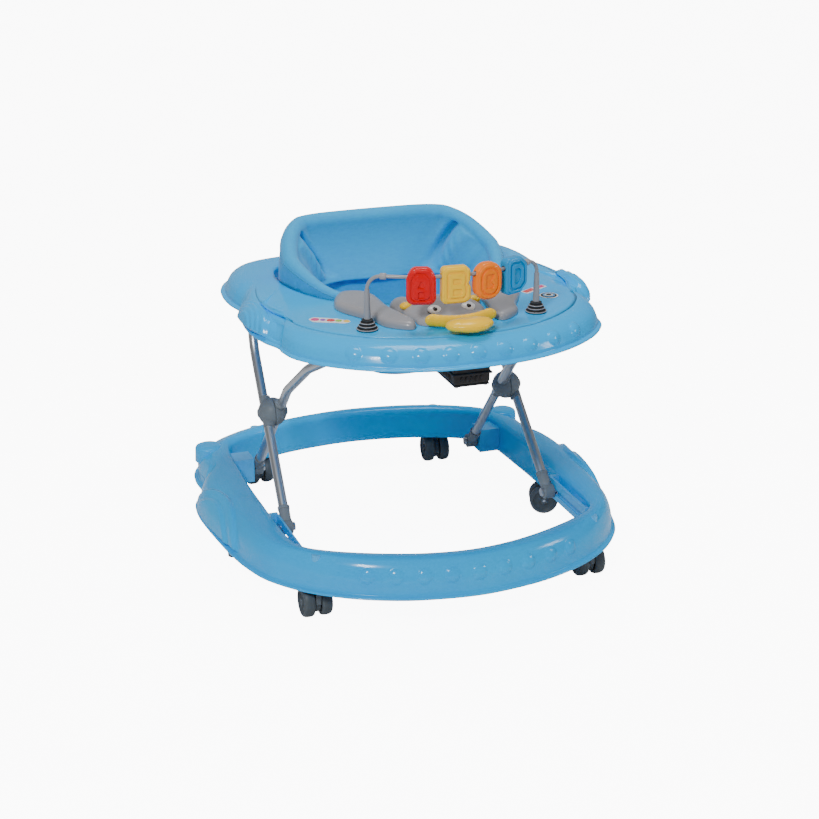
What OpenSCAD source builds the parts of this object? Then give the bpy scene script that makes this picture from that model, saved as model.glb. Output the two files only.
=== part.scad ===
// Baby walker: six swivelling casters under a moulded base ring, a scissor frame of bent
// tubes, and a moulded tray that carries the fabric seat and the toys.
// +Y points to the back of the walker, +Z up; the origin is on the floor under its middle.

/* [Base ring] */
// Overall width of the base ring
base_w = 640; // [600:1:680]
// Overall length of the base ring
base_l = 712; // [620:1:820]
// Height of the base ring's lower lip above the floor
base_lip_z = 49; // [49:0.5:60]
// Height of the base ring from its lip to its flat top
base_h = 56; // [46:1:70]
// Wall of the base and tray mouldings
wall = 3; // [2:0.1:4]
// Width of the thin lip round both mouldings
lip_w = 7; // [4:0.5:10]

/* [Tray] */
// Overall width of the tray
tray_w = 534; // [500:1:560]
// Overall length of the tray
tray_l = 574; // [520:1:620]
// Height of the tray's lower lip above the floor
tray_lip_z = 394; // [384:1:410]
// Height of the tray from its lip to its flat top
tray_h = 34; // [28:1:44]

/* [Casters] */
// Wheel diameter
wheel_d = 47; // [40:0.5:47]
// Wheel width
wheel_w = 17; // [12:0.5:18]
// Distance from the swivel stem back to the wheel axle
trail = 12; // [8:0.5:16]
// Swivel stem diameter
stem_d = 8; // [6:0.5:10]
// Wheel axle diameter
axle_d = 5; // [4:0.5:6]

/* [Frame] */
// Outside diameter of the frame tubes
tube_d = 15; // [13:0.5:16]
// Wall of the frame tubes
tube_wall = 1.2; // [0.8:0.1:2]
// Diameter of the round hub where the tubes cross
hub_d = 46; // [42:1:52]
// Distance of each hub's split plane from the walker's middle
hub_x = 198; // [190:1:206]
// Height of the crossing hubs
hub_z = 216; // [206:1:226]
// Diameter of the foot pins and slide bolts
pin_d = 8; // [6:0.5:9]
// Diameter of the hub rivets
rivet_d = 6; // [5:0.5:8]

/* [Toys] */
// Diameter of the toy bar's wire
bar_d = 5.5; // [4:0.5:6]
// Height of the toy bar
bar_z = 508; // [500:1:530]
// Width of a letter block along the bar
letter_w = 43; // [34:0.5:43]
// Height of a letter block
letter_h = 54; // [48:1:58]
// Thickness of a letter block
letter_t = 20; // [14:1:24]

/* [Clearances] */
// Radial running clearance of pins, rivets, axles and stems
run = 0.06; // [0.03:0.01:0.1]
// Gap between separate bodies
gap = 1; // [0.6:0.1:2]
// Depth that a moulded boss is fused into the wall above it
fuse = 1; // [0.5:0.1:1.5]

/* [Hidden] */
$fn = 48;
sub_steps = 2;

// Plastic and metal colours
blue = [0.0, 0.66, 0.92];
seat_blue = [0.05, 0.62, 0.9];
steel = [0.68, 0.71, 0.74];
hub_grey = [0.45, 0.5, 0.53];
wheel_grey = [0.28, 0.32, 0.35];
toy_grey = [0.6, 0.6, 0.62];
black = [0.1, 0.09, 0.1];

// Half outlines, front middle to back middle, as shares of the half width and half length.
base_outer = [
  [0, -1], [0.238, -0.975], [0.419, -0.927], [0.594, -0.848], [0.75, -0.736], [0.875, -0.584],
  [0.934, -0.435], [0.966, -0.281], [0.984, -0.124], [0.997, 0.037], [1, 0.185], [0.975, 0.323],
  [0.909, 0.427], [0.906, 0.581], [0.872, 0.713], [0.769, 0.843], [0.588, 0.938], [0.328, 0.983],
  [0, 1]];
base_inner = [
  [0, -0.86], [0.188, -0.84], [0.353, -0.795], [0.506, -0.736], [0.631, -0.674], [0.7125, -0.612],
  [0.747, -0.5], [0.753, -0.295], [0.753, -0.126], [0.753, 0.034], [0.75, 0.174], [0.744, 0.292],
  [0.7375, 0.421], [0.725, 0.551], [0.69, 0.643], [0.5875, 0.713], [0.4375, 0.772], [0.25, 0.815],
  [0, 0.837]];
tray_outer = [
  [0, -1], [0.281, -0.976], [0.536, -0.889], [0.749, -0.749], [0.884, -0.589], [0.921, -0.463],
  [0.925, -0.387], [0.966, -0.289], [0.996, -0.15], [1, -0.01], [0.981, 0.129], [0.948, 0.268],
  [0.97, 0.408], [0.97, 0.561], [0.936, 0.721], [0.846, 0.861], [0.644, 0.944], [0.345, 0.99],
  [0, 1]];
tray_inner = [
  [0, -0.226], [0.169, -0.216], [0.318, -0.167], [0.442, -0.087], [0.543, 0.017], [0.599, 0.111],
  [0.633, 0.199], [0.652, 0.268], [0.663, 0.338], [0.667, 0.408], [0.667, 0.477], [0.659, 0.54],
  [0.644, 0.589], [0.614, 0.638], [0.562, 0.679], [0.479, 0.714], [0.367, 0.739], [0.187, 0.749],
  [0, 0.753]];
inner_wall_share = 0.753;         // the ring's straight inner sides, as a share of its half width
bracket_share = 0.733;            // where the back brackets meet the inner wall
tray_y = -344 + tray_l / 2;       // the tray sits a little forward of the base's middle
tray_top = tray_lip_z + tray_h;
tray_under = tray_top - wall;
base_top = base_lip_z + base_h;

// Scissor frame, in the Y-Z plane
rear_foot = [186, 70];
hub = [51, hub_z];
front_foot = [-87, 78];
tray_pivot = [146, tray_lip_z - 11];
cross_bar = [-150, 368];
fold_max = 31;
rear_foot_x = 190;                // the inner tubes' feet stand beside the brackets
front_foot_x = 217;               // the outer tubes' feet stand inside the slide rails
tray_pivot_x = 201;
tube_r = tube_d / 2;
tube_gap = 3;                     // between the two tubes at the hub
outer_x = hub_x + (tube_gap + tube_d) / 2;
inner_x = hub_x - (tube_gap + tube_d) / 2;
foot_cap_w = tube_d + 2;
pin_r = pin_d / 2;
rivet_r = rivet_d / 2;

// Slide rails for the front feet
rail_x = front_foot_x + foot_cap_w / 2 + gap;
rail_t = 3;
bolt_run = 0.7;                   // the bolt's clearance in the rail's slot
// Where the slide bolt stands when the frame is folded
slot_front_y = rear_foot[0] + cos(fold_max) * (front_foot[0] - rear_foot[0])
  - sin(fold_max) * (2 * hub[1] - rear_foot[1] - front_foot[1]);

// Casters: name, stem position and swivel angle at rest
caster_places = [
  ["front_left", -219, -252, 180], ["front_right", 219, -252, 180],
  ["side_left", -265, 12, -12], ["side_right", 265, 12, -109],
  ["rear_left", -162, 301, 6], ["rear_right", 162, 301, -4]];
wheel_r = wheel_d / 2;
web_t = 8;                        // thickness of the caster's web between its wheels
wheel_gap = 1;
stem_top = 86;
housing_top = base_lip_z + 1;
socket_d = 16;

// Toy bar: two stems and a bowed run between them
stem_x = 130;
stem_y = -225;
bow_angle = 27;
bow_r = 205;
bar_r = bar_d / 2;
bow_apex_y = stem_y - stem_x * tan(bow_angle) + bow_r * (1 / cos(bow_angle) - 1);
bow_centre_y = bow_apex_y + bow_r;
letter_names = ["a", "b", "c", "d"];
letter_step = 13.8;               // angle between letters along the bow
letter_first = -17.1;
letter_corner = 18;
letter_below = 39.5;                // from the bar down to the bottom of a letter
letter_bore = bar_d + 3.3;
boot_h = 20;

// Toys on the tray
head_z = tray_top + 22;
music_box = [56, 86, 40];         // size of the sound module under the tray
music_front_y = -306;

// ---------- outlines and lofts ----------

function mirrored(half) = concat(half, [for (i = [len(half) - 2 : -1 : 1]) [-half[i][0], half[i][1]]]);

function catmull(a, b, c, d, t) =
  0.5 * (2 * b + (c - a) * t + (2 * a - 5 * b + 4 * c - d) * t * t + (3 * b - a - 3 * c + d) * t * t * t);

// A closed smooth curve through the points, with sub steps from each point to the next
function smooth_loop(pts, sub) = let (n = len(pts)) [
  for (i = [0 : n - 1], s = [0 : sub - 1])
    catmull(pts[(i + n - 1) % n], pts[i], pts[(i + 1) % n], pts[(i + 2) % n], s / sub)];

function outline(half, w, l, y) =
  smooth_loop([for (p = mirrored(half)) [p[0] * w / 2, y + p[1] * l / 2]], sub_steps);

// Points of one cross-section: each [inset from the outer outline, height]
function section(o, i, profile) =
  let (w = norm(i - o), u = (i - o) / w) [for (p = profile) [o[0] + u[0] * p[0], o[1] + u[1] * p[0], p[1]]];

// A solid that closes on itself along the rows and round each row
module ring_loft(rows) {
  n = len(rows);
  m = len(rows[0]);
  polyhedron(
    points = [for (r = rows) each r],
    faces = [for (i = [0 : n - 1], j = [0 : m - 1])
      let (k = (i + 1) % n, l = (j + 1) % m, a = i * m + j, b = i * m + l, c = k * m + l, d = k * m + j)
      each [[a, b, c], [a, c, d]]]);
}

// A thin solid between an outer and an inner grid; cells with keep false are left open.
// The grid closes on itself along i when wrap is true.
module grid_shell(outer, inner, wrap, keep) {
  n = len(outer);
  m = len(outer[0]);
  total = n * m;
  imax = wrap ? n - 1 : n - 2;
  function held(i, j) = j >= 0 && j <= m - 2 && (wrap || (i >= 0 && i <= n - 2)) && keep[(i + n) % n][j];
  polyhedron(
    points = concat([for (r = outer) each r], [for (r = inner) each r]),
    faces = [for (i = [0 : imax], j = [0 : m - 2]) if (held(i, j))
      let (k = (i + 1) % n, a = i * m + j, b = a + 1, d = k * m + j, c = d + 1) each concat(
        [[a, c, b], [a, d, c], [total + a, total + b, total + c], [total + a, total + c, total + d]],
        held(i, j - 1) ? [] : [[a, total + a, total + d], [a, total + d, d]],
        held(i, j + 1) ? [] : [[b, total + c, total + b], [b, c, total + c]],
        held(i - 1, j) ? [] : [[a, b, total + b], [a, total + b, total + a]],
        held(i + 1, j) ? [] : [[d, total + d, total + c], [d, total + c, c]])]);
}

// ---------- round parts along lines ----------

module along(from, to, r) {
  d = to - from;
  l = norm(d);
  translate(from)
    rotate([0, acos(d[2] / l), atan2(d[1], d[0])])
      cylinder(r = r, h = l);
}

module x_rod(x0, x1, y, z, r) {
  translate([min(x0, x1), y, z]) rotate([0, 90, 0]) cylinder(r = r, h = abs(x1 - x0));
}

function unit(v) = v / norm(v);
function turn(p, i) = let (u = unit(p[i] - p[i - 1]), v = unit(p[i + 1] - p[i])) acos(min(1, max(-1, u * v)));
function tangent_len(p, r, i) = (i <= 0 || i >= len(p) - 1) ? 0 : r[i] * tan(turn(p, i) / 2);

// Points along a bend of radius r at corner i of the path p
function bend(p, r, i, step) =
  let (u = unit(p[i] - p[i - 1]), v = unit(p[i + 1] - p[i]), across = unit(v - (v * u) * u),
    c = p[i] - u * tangent_len(p, r, i) + across * r[i], a = turn(p, i), n = max(2, ceil(a / step)))
  [for (k = [0 : n]) c - across * r[i] * cos(a * k / n) + u * r[i] * sin(a * k / n)];

// The path p with its corners rounded by the bend radii r
function bent_path(p, r, step) =
  concat([p[0]], [for (i = [1 : len(p) - 2]) each bend(p, r, i, step)], [p[len(p) - 1]]);

function heading(c, i) =
  let (n = len(c) - 1) i == 0 ? unit(c[1] - c[0]) : i == n ? unit(c[n] - c[n - 1]) :
  unit(unit(c[i] - c[i - 1]) + unit(c[i + 1] - c[i]));

// A normal to the path at each point, carried along without twist
function normals(c) =
  [for (i = 0, v = unit(cross(heading(c, 0), [0.1, 0.2, 1])); i < len(c);
    i = i + 1, v = i < len(c) ? let (h = heading(c, i)) unit(v - (v * h) * h) : v) v];

function ring_point(c, nv, i, a, r) = c[i] + r * (cos(a) * nv[i] + sin(a) * cross(heading(c, i), nv[i]));

// A bent tube, open at its ends: each row runs out along the outside and back along the bore
module bent_tube(p, bends, r_out, r_in, sides_n, step) {
  c = bent_path(p, bends, step);
  nv = normals(c);
  n = len(c);
  ring_loft([for (k = [sides_n - 1 : -1 : 0]) let (a = 360 * k / sides_n) concat(
    [for (i = [0 : n - 1]) ring_point(c, nv, i, a, r_out)],
    [for (i = [n - 1 : -1 : 0]) ring_point(c, nv, i, a, r_in)])]);
}

// A bent solid wire
module bent_wire(p, bends, r, sides_n, step) {
  c = bent_path(p, bends, step);
  nv = normals(c);
  n = len(c);
  polyhedron(
    points = [for (i = [0 : n - 1], k = [0 : sides_n - 1]) ring_point(c, nv, i, 360 * k / sides_n, r)],
    faces = concat(
      [[for (k = [0 : sides_n - 1]) k], [for (k = [sides_n - 1 : -1 : 0]) (n - 1) * sides_n + k]],
      [for (i = [0 : n - 2], k = [0 : sides_n - 1])
        let (a = i * sides_n + k, b = i * sides_n + (k + 1) % sides_n, c = a + sides_n, d = b + sides_n)
        each [[a, c, d], [a, d, b]]]));
}

module both_sides() {
  children();
  mirror([1, 0, 0]) children();
}

// ---------- base ----------

// fall is how far the top slopes down from the inner edge to the outer side
function base_profile(w, fall) = let (h = base_h, z = base_lip_z, t = wall) [
  [0, z], [0, z + 3], [lip_w * 0.6, z + 5], [lip_w + 1, z + 0.2 * h],
  [lip_w + 0.06 * w, z + 0.5 * h - 0.7 * fall],
  [lip_w + 0.15 * w, z + 0.75 * h - 0.8 * fall], [lip_w + 0.28 * w, z + 0.92 * h - 0.7 * fall],
  [0.6 * w, z + h - 0.35 * fall], [w - 8, z + h], [w - 2, z + h - 2], [w, z + h - 8], [w, z + 2],
  [w - t, z + 2], [w - t, z + h - 8 - t / 2], [w - 2 - t, z + h - 2 - t], [w - 8 - t / 2, z + h - t],
  [0.6 * w + t / 2, z + h - t - 0.35 * fall], [lip_w + 0.28 * w + t / 2, z + 0.92 * h - t - 0.7 * fall],
  [lip_w + 0.15 * w + 0.8 * t, z + 0.75 * h - 0.7 * t - 0.8 * fall],
  [lip_w + 0.06 * w + t, z + 0.5 * h - 0.4 * t - 0.7 * fall],
  [lip_w + 1 + t, z + 0.2 * h - 0.3 * t], [lip_w + t - 1, z]];

back_fall = 16;
// The top falls away only along the back of the ring
function ring_fall(y) = back_fall * min(1, max(0, (y / base_l * 2 - 0.5) / 0.35));

module base_shell() {
  outer = outline(base_outer, base_w, base_l, 0);
  inner = outline(base_inner, base_w, base_l, 0);
  color(blue)
    ring_loft([for (i = [0 : len(outer) - 1])
      section(outer[i], inner[i], base_profile(norm(outer[i] - inner[i]), ring_fall(outer[i][1])))]);
}

// Round sockets moulded under the ring's top, one for each caster stem
module caster_sockets() {
  socket_top = base_top - wall + fuse;
  color(blue)
    for (c = caster_places) translate([c[1], c[2], 0])
      difference() {
        translate([0, 0, housing_top + gap])
          cylinder(d = socket_d, h = socket_top - housing_top - gap - 0.35 * ring_fall(c[2]));
        cylinder(r = stem_d / 2 + run, h = stem_top + gap);
      }
}

// A slotted plate on each side, in which the front foot's bolt slides forward as the frame folds
module slide_rails() {
  slot_r = pin_r + bolt_run;
  wall_x = inner_wall_share * base_w / 2 + fuse;
  back_y = front_foot[0] + slot_r + 16;
  front_y = slot_front_y - slot_r - 12;
  color(blue) both_sides()
    difference() {
      union() {
        translate([rail_x, front_y, 64]) cube([rail_t, back_y - front_y, 32]);
        translate([rail_x, back_y - 8, 64]) cube([wall_x - rail_x, 8, 32]);
        translate([rail_x, front_y, 64]) cube([6, 6, 32]);
      }
      translate([0, 0, front_foot[1]]) {
        x_rod(rail_x - 1, rail_x + rail_t + 1, front_foot[0], 0, slot_r);
        x_rod(rail_x - 1, rail_x + rail_t + 1, slot_front_y, 0, slot_r);
        translate([rail_x - 1, slot_front_y, -slot_r])
          cube([rail_t + 2, front_foot[0] - slot_front_y, 2 * slot_r]);
      }
    }
}

// Blocks on the ring's inner wall that hold the back feet's pins
module rear_brackets() {
  inner_face = rear_foot_x + foot_cap_w / 2 + gap;
  outer_face = bracket_share * base_w / 2;
  color(blue) both_sides()
    difference() {
      translate([inner_face, rear_foot[0] - 19, base_lip_z + 4]) cube([outer_face - inner_face, 38, 40]);
      x_rod(inner_face - 1, inner_face + 22, rear_foot[0], rear_foot[1], pin_r);
    }
}

module rear_pivot_pins() {
  head_x = rear_foot_x - foot_cap_w / 2 - gap;
  color(steel) both_sides() {
    x_rod(head_x, rear_foot_x + foot_cap_w / 2 + gap + 22, rear_foot[0], rear_foot[1], pin_r);
    x_rod(head_x - 3, head_x, rear_foot[0], rear_foot[1], pin_r + 2.5);
  }
}

// ---------- casters ----------

module at_caster(c) {
  translate([c[1], c[2], 0]) rotate([0, 0, c[3]]) children();
}

module caster_housing(c) {
  color(wheel_grey) at_caster(c)
    difference() {
      union() {
        translate([0, 0, housing_top - 2]) cylinder(d = socket_d - 1, h = 2);
        translate([0, 0, housing_top - 4]) cylinder(d = stem_d, h = stem_top - housing_top + 4);
        x_rod(-web_t / 2, web_t / 2, -trail, wheel_r, 17);
        translate([-web_t / 2, -trail - 3, wheel_r]) cube([web_t, trail + 11, housing_top - wheel_r - 1]);
      }
      x_rod(-web_t, web_t, -trail, wheel_r, axle_d / 2 + run);
    }
}

module caster_axle(c) {
  half = web_t / 2 + wheel_gap + wheel_w - 2;
  color(steel) at_caster(c) x_rod(-half, half, -trail, wheel_r, axle_d / 2);
}

// One wheel, turned about +Z with its inner face at z = 0
module wheel() {
  r = wheel_r;
  w = wheel_w;
  rotate_extrude($fn = 72) difference() {
    union() {
      square([r - 4, w]);
      translate([0, 2]) square([r, w - 6]);
      translate([r - 4, w - 4]) circle(r = 4);
      translate([r - 2, 2]) circle(r = 2);
    }
    translate([-1, -1]) square([axle_d / 2 + 1, w + 2]);
    translate([7, w - 2]) square([r - 12, 3]);
    translate([-1, w - 1]) square([3.5 + 1, 3]);
  }
}

module caster_wheels(c) {
  color(wheel_grey) at_caster(c) translate([0, -trail, wheel_r])
    for (s = [0, 180]) rotate([0, 0, s]) translate([web_t / 2 + wheel_gap, 0, 0]) rotate([0, 90, 0]) wheel();
}

// ---------- frame ----------

// Paths of the right-hand tubes; the left-hand ones are mirrored
rear_foot_3d = [rear_foot_x, rear_foot[0], rear_foot[1]];
front_foot_3d = [front_foot_x, front_foot[0], front_foot[1]];
inner_knee = [inner_x - 3, 4, hub_z + 50];
outer_knee = [tray_pivot_x + 2, tray_pivot[0] - 2, hub_z + 94];
inner_path = [
  rear_foot_3d + 12 * unit(inner_knee - rear_foot_3d),
  inner_knee,
  [inner_x - 14, -75, 325],
  [inner_x - 42, cross_bar[0], cross_bar[1]]];
inner_bends = [0, 60, 60, 32];
outer_path = [
  front_foot_3d + 12 * unit(outer_knee - front_foot_3d),
  outer_knee,
  [tray_pivot_x, tray_pivot[0], tray_pivot[1] - tube_r + 14]];
outer_bends = [0, 90, 0];

function flip(p) = [for (q = p) [-q[0], q[1], q[2]]];
function reversed(p) = [for (i = [len(p) - 1 : -1 : 0]) p[i]];
inner_loop = concat(flip(inner_path), reversed(inner_path));
inner_loop_bends = concat(inner_bends, reversed(inner_bends));

// One long tube: up from the back feet, through the hubs and across under the tray
module inner_frame_tube() {
  color(steel) difference() {
    bent_tube(inner_loop, inner_loop_bends, tube_r, tube_r - tube_wall, 16, 12);
    both_sides() x_rod(hub_x - hub_d, hub_x + hub_d, hub[0], hub[1], rivet_r + run);
  }
}

module outer_tube() {
  color(steel) difference() {
    bent_tube(outer_path, outer_bends, tube_r, tube_r - tube_wall, 16, 8);
    x_rod(hub_x - hub_d, hub_x + hub_d, hub[0], hub[1], rivet_r);
    x_rod(tray_pivot_x - 20, tray_pivot_x + 20, tray_pivot[0], tray_pivot[1], hanger_pin_r + run);
  }
}

module outer_tube_right() { outer_tube(); }
module outer_tube_left() { mirror([1, 0, 0]) outer_tube(); }

// Half of a round hub, on the outer (sign 1) or the inner side (sign -1) of the split plane
module hub_half(sign) {
  split = 0.25;
  translate([hub_x, hub[0], hub[1]]) rotate([0, sign * 90, 0]) rotate_extrude($fn = 64) intersection() {
    circle(d = hub_d);
    translate([0, split]) square(hub_d);
  }
}

module inner_hub_halves() {
  color(hub_grey) both_sides() difference() {
    hub_half(-1);
    along(rear_foot_3d, inner_knee, tube_r + run);
    x_rod(hub_x - hub_d, hub_x + hub_d, hub[0], hub[1], rivet_r + run);
  }
}

module outer_hub_halves() {
  color(hub_grey) both_sides() difference() {
    hub_half(1);
    along(front_foot_3d, outer_knee, tube_r + run);
    x_rod(hub_x - hub_d, hub_x + hub_d, hub[0], hub[1], rivet_r);
  }
}

// Rivets through both hub halves and both tubes
module hub_rivets() {
  color(steel) both_sides()
    x_rod(hub_x - hub_d / 2 + 1, hub_x + hub_d / 2 - 1, hub[0], hub[1], rivet_r);
}

// A moulded eye that plugs over a tube's end and carries the foot pin
module foot_cap(foot, toward, bore) {
  u = unit(toward - foot);
  difference() {
    union() {
      x_rod(foot[0] - foot_cap_w / 2, foot[0] + foot_cap_w / 2, foot[1], foot[2], 11.5);
      along(foot, foot + 34 * u, tube_r + 1);
    }
    along(foot + 12 * u, foot + 40 * u, tube_r + run);
    x_rod(foot[0] - foot_cap_w, foot[0] + foot_cap_w, foot[1], foot[2], bore);
  }
}

module inner_foot_caps() {
  color(hub_grey) both_sides() foot_cap(rear_foot_3d, inner_knee, pin_r + run);
}

module outer_foot_caps() {
  color(hub_grey) both_sides() foot_cap(front_foot_3d, outer_knee, pin_r + run);
}

// Bolts fixed in the front feet, with a washer behind the slotted rail
module slide_bolts() {
  head_x = front_foot_x - foot_cap_w / 2;
  tail_x = rail_x + rail_t + 0.6;
  color(steel) both_sides() {
    x_rod(head_x, tail_x, front_foot[0], front_foot[1], pin_r);
    x_rod(head_x - 4, head_x, front_foot[0], front_foot[1], pin_r + 2.5);
    x_rod(tail_x, tail_x + 1.6, front_foot[0], front_foot[1], pin_r + 3);
  }
}

// ---------- tray ----------

function tray_profile(w) = let (h = tray_h, z = tray_lip_z, t = wall) [
  [0, z], [0, z + 3], [lip_w * 0.6, z + 5], [lip_w + 1, z + 0.3 * h], [lip_w + 8, z + 0.62 * h],
  [lip_w + 19, z + 0.87 * h], [lip_w + 34, z + h], [w - 12, z + h], [w - 4, z + h - 1], [w, z + h - 5],
  [w, z + h - 30], [w - t, z + h - 30], [w - t, z + h - 5 - t / 2], [w - 4 - t / 2, z + h - 1 - t],
  [w - 12 - t / 2, z + h - t], [lip_w + 34 + t / 3, z + h - t],
  [lip_w + 19 + 0.7 * t, z + 0.87 * h - 0.8 * t],
  [lip_w + 8 + 0.9 * t, z + 0.62 * h - 0.5 * t], [lip_w + 1 + t, z + 0.3 * h - 0.2 * t], [lip_w + t, z]];

module tray_shell() {
  outer = outline(tray_outer, tray_w, tray_l, tray_y);
  inner = outline(tray_inner, tray_w, tray_l, tray_y);
  color(blue)
    ring_loft([for (i = [0 : len(outer) - 1])
      section(outer[i], inner[i], tray_profile(norm(outer[i] - inner[i])))]);
}

hanger_t = 4;
hanger_in = tray_pivot_x - tube_r - gap;
hanger_out = tray_pivot_x + tube_r + gap;
hanger_pin_r = pin_r - 1;

// Two ears under each back corner of the tray, which hold the outer tubes' upper ends
module tray_hangers() {
  color(blue) both_sides() difference() {
    union() for (x = [hanger_in - hanger_t, hanger_out]) {
      translate([x, tray_pivot[0] - 12, tray_pivot[1]])
        cube([hanger_t, 24, tray_under + fuse - tray_pivot[1]]);
      x_rod(x, x + hanger_t, tray_pivot[0], tray_pivot[1], 12);
    }
    x_rod(hanger_in - 10, hanger_out + 10, tray_pivot[0], tray_pivot[1], hanger_pin_r);
  }
}

module hanger_pins() {
  color(steel) both_sides()
    x_rod(hanger_in - hanger_t, hanger_out + hanger_t, tray_pivot[0], tray_pivot[1], hanger_pin_r);
}

// Blocks under the tray with a hollow that rests on the cross bar
module bar_saddles() {
  saddle_run = 0.5;
  color(blue) both_sides() difference() {
    translate([62, cross_bar[0] - 2, cross_bar[1] - 2]) cube([18, 20, tray_under + fuse - cross_bar[1] + 2]);
    x_rod(50, 90, cross_bar[0], cross_bar[1], tube_r + saddle_run);
  }
}

// ---------- seat ----------

seat_y = 22;
seat_a = 0.31648 * tray_w;
seat_b = 0.21951 * tray_l;
back_steps = 28;
back_rise = 9;
back_sweep = 125;
back_top = 496;
// How high the back's edge stands at angle a from the middle of the back
function back_edge(a) = 0.14 + 0.86 / (1 + pow(abs(a) / 80, 6));
// A point of the backrest: t from the left end to the right end, v from bottom to top
function back_point(t, v, inset) =
  let (a = t * back_sweep, z0 = tray_top - 8, rise = (back_top - z0) * back_edge(a) * v,
    lean = rise / (back_top - z0), x = (seat_a - inset) * sin(a), y = (seat_b - inset) * cos(a))
  [x * (1 - 0.05 * lean), seat_y + y + 42 * lean * max(0, cos(a * 0.85)), z0 + rise];

module seat_back() {
  ts = [for (i = [0 : back_steps]) 2 * i / back_steps - 1];
  vs = [for (j = [0 : back_rise]) j / back_rise];
  keep = [for (t = ts) [for (v = vs) true]];
  color(seat_blue)
    grid_shell([for (t = ts) [for (v = vs) back_point(t, v, 0)]],
      [for (t = ts) [for (v = vs) back_point(t, v, 14)]], false, keep);
}

sling_n = 40;
sling_rim = tray_top - 10;
sling_bottom = 292;
// Half-size and height of the bucket at a depth d from 0 at the rim to 1 at the bottom
function sling_scale(d) = cos(68 * d) * (1 - 0.12 * d);
function sling_point(a, d, inset) =
  [(seat_a - 2 - inset) * sling_scale(d) * sin(a),
    seat_y - 18 * d - (seat_b - 2 - inset) * sling_scale(d) * cos(a),
    sling_rim - (sling_rim - sling_bottom - inset) * sin(90 * d)];

// Fabric bucket below the tray, with a hole for each leg
module seat_sling() {
  ds = [for (j = [0 : 10]) j / 10];
  as = [for (i = [0 : sling_n - 1]) 360 * i / sling_n];
  // The leg holes leave out four rows of cells on each side of the front
  keep = [for (a = as) [for (j = [0 : 9])
    !(j >= 5 && j <= 8 && ((a >= 18 && a < 81) || (a >= 279 && a < 342)))]];
  color(seat_blue) {
    grid_shell([for (a = as) [for (d = ds) sling_point(a, d, 0)]],
      [for (a = as) [for (d = ds) sling_point(a, d, 4)]], true, keep);
    sling_floor();
  }
}

// Flat bottom that closes the bucket
module sling_floor() {
  rim = [for (i = [0 : sling_n - 1]) let (p = sling_point(360 * i / sling_n, 1, 0)) [p[0], p[1]]];
  translate([0, 0, sling_bottom]) linear_extrude(height = 4) polygon(rim);
}

// Plastic hooks sewn to the seat's edge, which clip under the tray's opening
module seat_hooks() {
  inner = outline(tray_inner, tray_w, tray_l, tray_y);
  n = len(inner);
  color([0.9, 0.92, 0.94])
    for (i = [3, 12, 22, 30, 42, 50, 60, 69]) {
      p = inner[i % n];
      q = inner[(i + 1) % n];
      translate([p[0], p[1], tray_top - 42]) rotate([0, 0, atan2(q[1] - p[1], q[0] - p[0])]) {
        translate([-9, -4, 0]) cube([18, 9, 4]);
        translate([-9, -4, 0]) cube([18, 2, 11]);
      }
    }
}

// ---------- toy bar ----------

bar_points = [
  [-stem_x, stem_y, tray_top + 6], [-stem_x, stem_y, bar_z], [0, stem_y - stem_x * tan(bow_angle), bar_z],
  [stem_x, stem_y, bar_z], [stem_x, stem_y, tray_top + 6]];
bar_bends = [0, 20, bow_r, 20, 0];

module toy_bar() {
  color(toy_grey) bent_wire(bar_points, bar_bends, bar_r, 12, 4);
}

// Ribbed boots that plug the bar into the tray
module bar_boots() {
  color(black) both_sides() translate([stem_x, stem_y, tray_top])
    difference() {
      union() {
        cylinder(r = 15, h = 4);
        translate([0, 0, 4]) cylinder(r = 11.5, h = 4);
        translate([0, 0, 8]) cylinder(r = 10, h = 4);
        translate([0, 0, 12]) cylinder(r1 = 8, r2 = 5, h = boot_h - 12 + 10);
      }
      translate([0, 0, 6]) cylinder(r = bar_r, h = 60);
    }
}

function on_bow(phi) = [bow_r * sin(phi), bow_centre_y - bow_r * cos(phi), bar_z];

module on_bar(phi) {
  translate(on_bow(phi)) rotate([0, 0, phi]) children();
}

// Stops crimped on the bar at both ends of its bowed run
module bar_collars() {
  collar_x = 109.5;
  start = stem_x - collar_x;
  color(toy_grey) both_sides()
    translate([collar_x, stem_y - start * tan(bow_angle), bar_z]) rotate([0, 0, bow_angle])
      difference() {
        x_rod(-4, 4, 0, 0, bar_r + 2);
        x_rod(-5, 5, 0, 0, bar_r);
      }
}

// A rounded block hung on the bar, with cut recesses [x, z, width, height] front and back
module letter_block(i, shade, recesses) {
  w = letter_w;
  h = letter_h;
  t = letter_t;
  c = letter_corner;
  color(shade) on_bar(letter_first + i * letter_step)
    translate([0, 0, -letter_below]) difference() {
      translate([0, t / 2, 0]) rotate([90, 0, 0]) linear_extrude(height = t) union() {
        translate([-w / 2, c]) square([w, h - 2 * c]);
        translate([-w / 2 + c, 0]) square([w - 2 * c, h]);
        for (x = [-w / 2 + c, w / 2 - c], z = [c, h - c]) translate([x, z]) circle(r = c);
      }
      x_rod(-w, w, 0, letter_below, letter_bore / 2);
      for (r = recesses, y = [-t / 2 - 1, t / 2 - 4])
        translate([r[0] - r[2] / 2, y, r[1] - r[3] / 2]) cube([r[2], 5, r[3]]);
    }
}

module letter_a() { letter_block(0, [0.8, 0.04, 0.06], [[0, 29, 9, 6], [0, 14, 9, 8]]); }
module letter_b() { letter_block(1, [0.98, 0.84, 0.27], [[0, 18, 13, 8], [0, 34, 13, 6]]); }
module letter_c() { letter_block(2, [1, 0.58, 0.03], [[0, 23, 11, 20], [9, 23, 9, 7]]); }
module letter_d() { letter_block(3, [0, 0.6, 0.85], [[0, 23, 11, 22]]); }

// ---------- toys and sound module on the tray ----------

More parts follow.
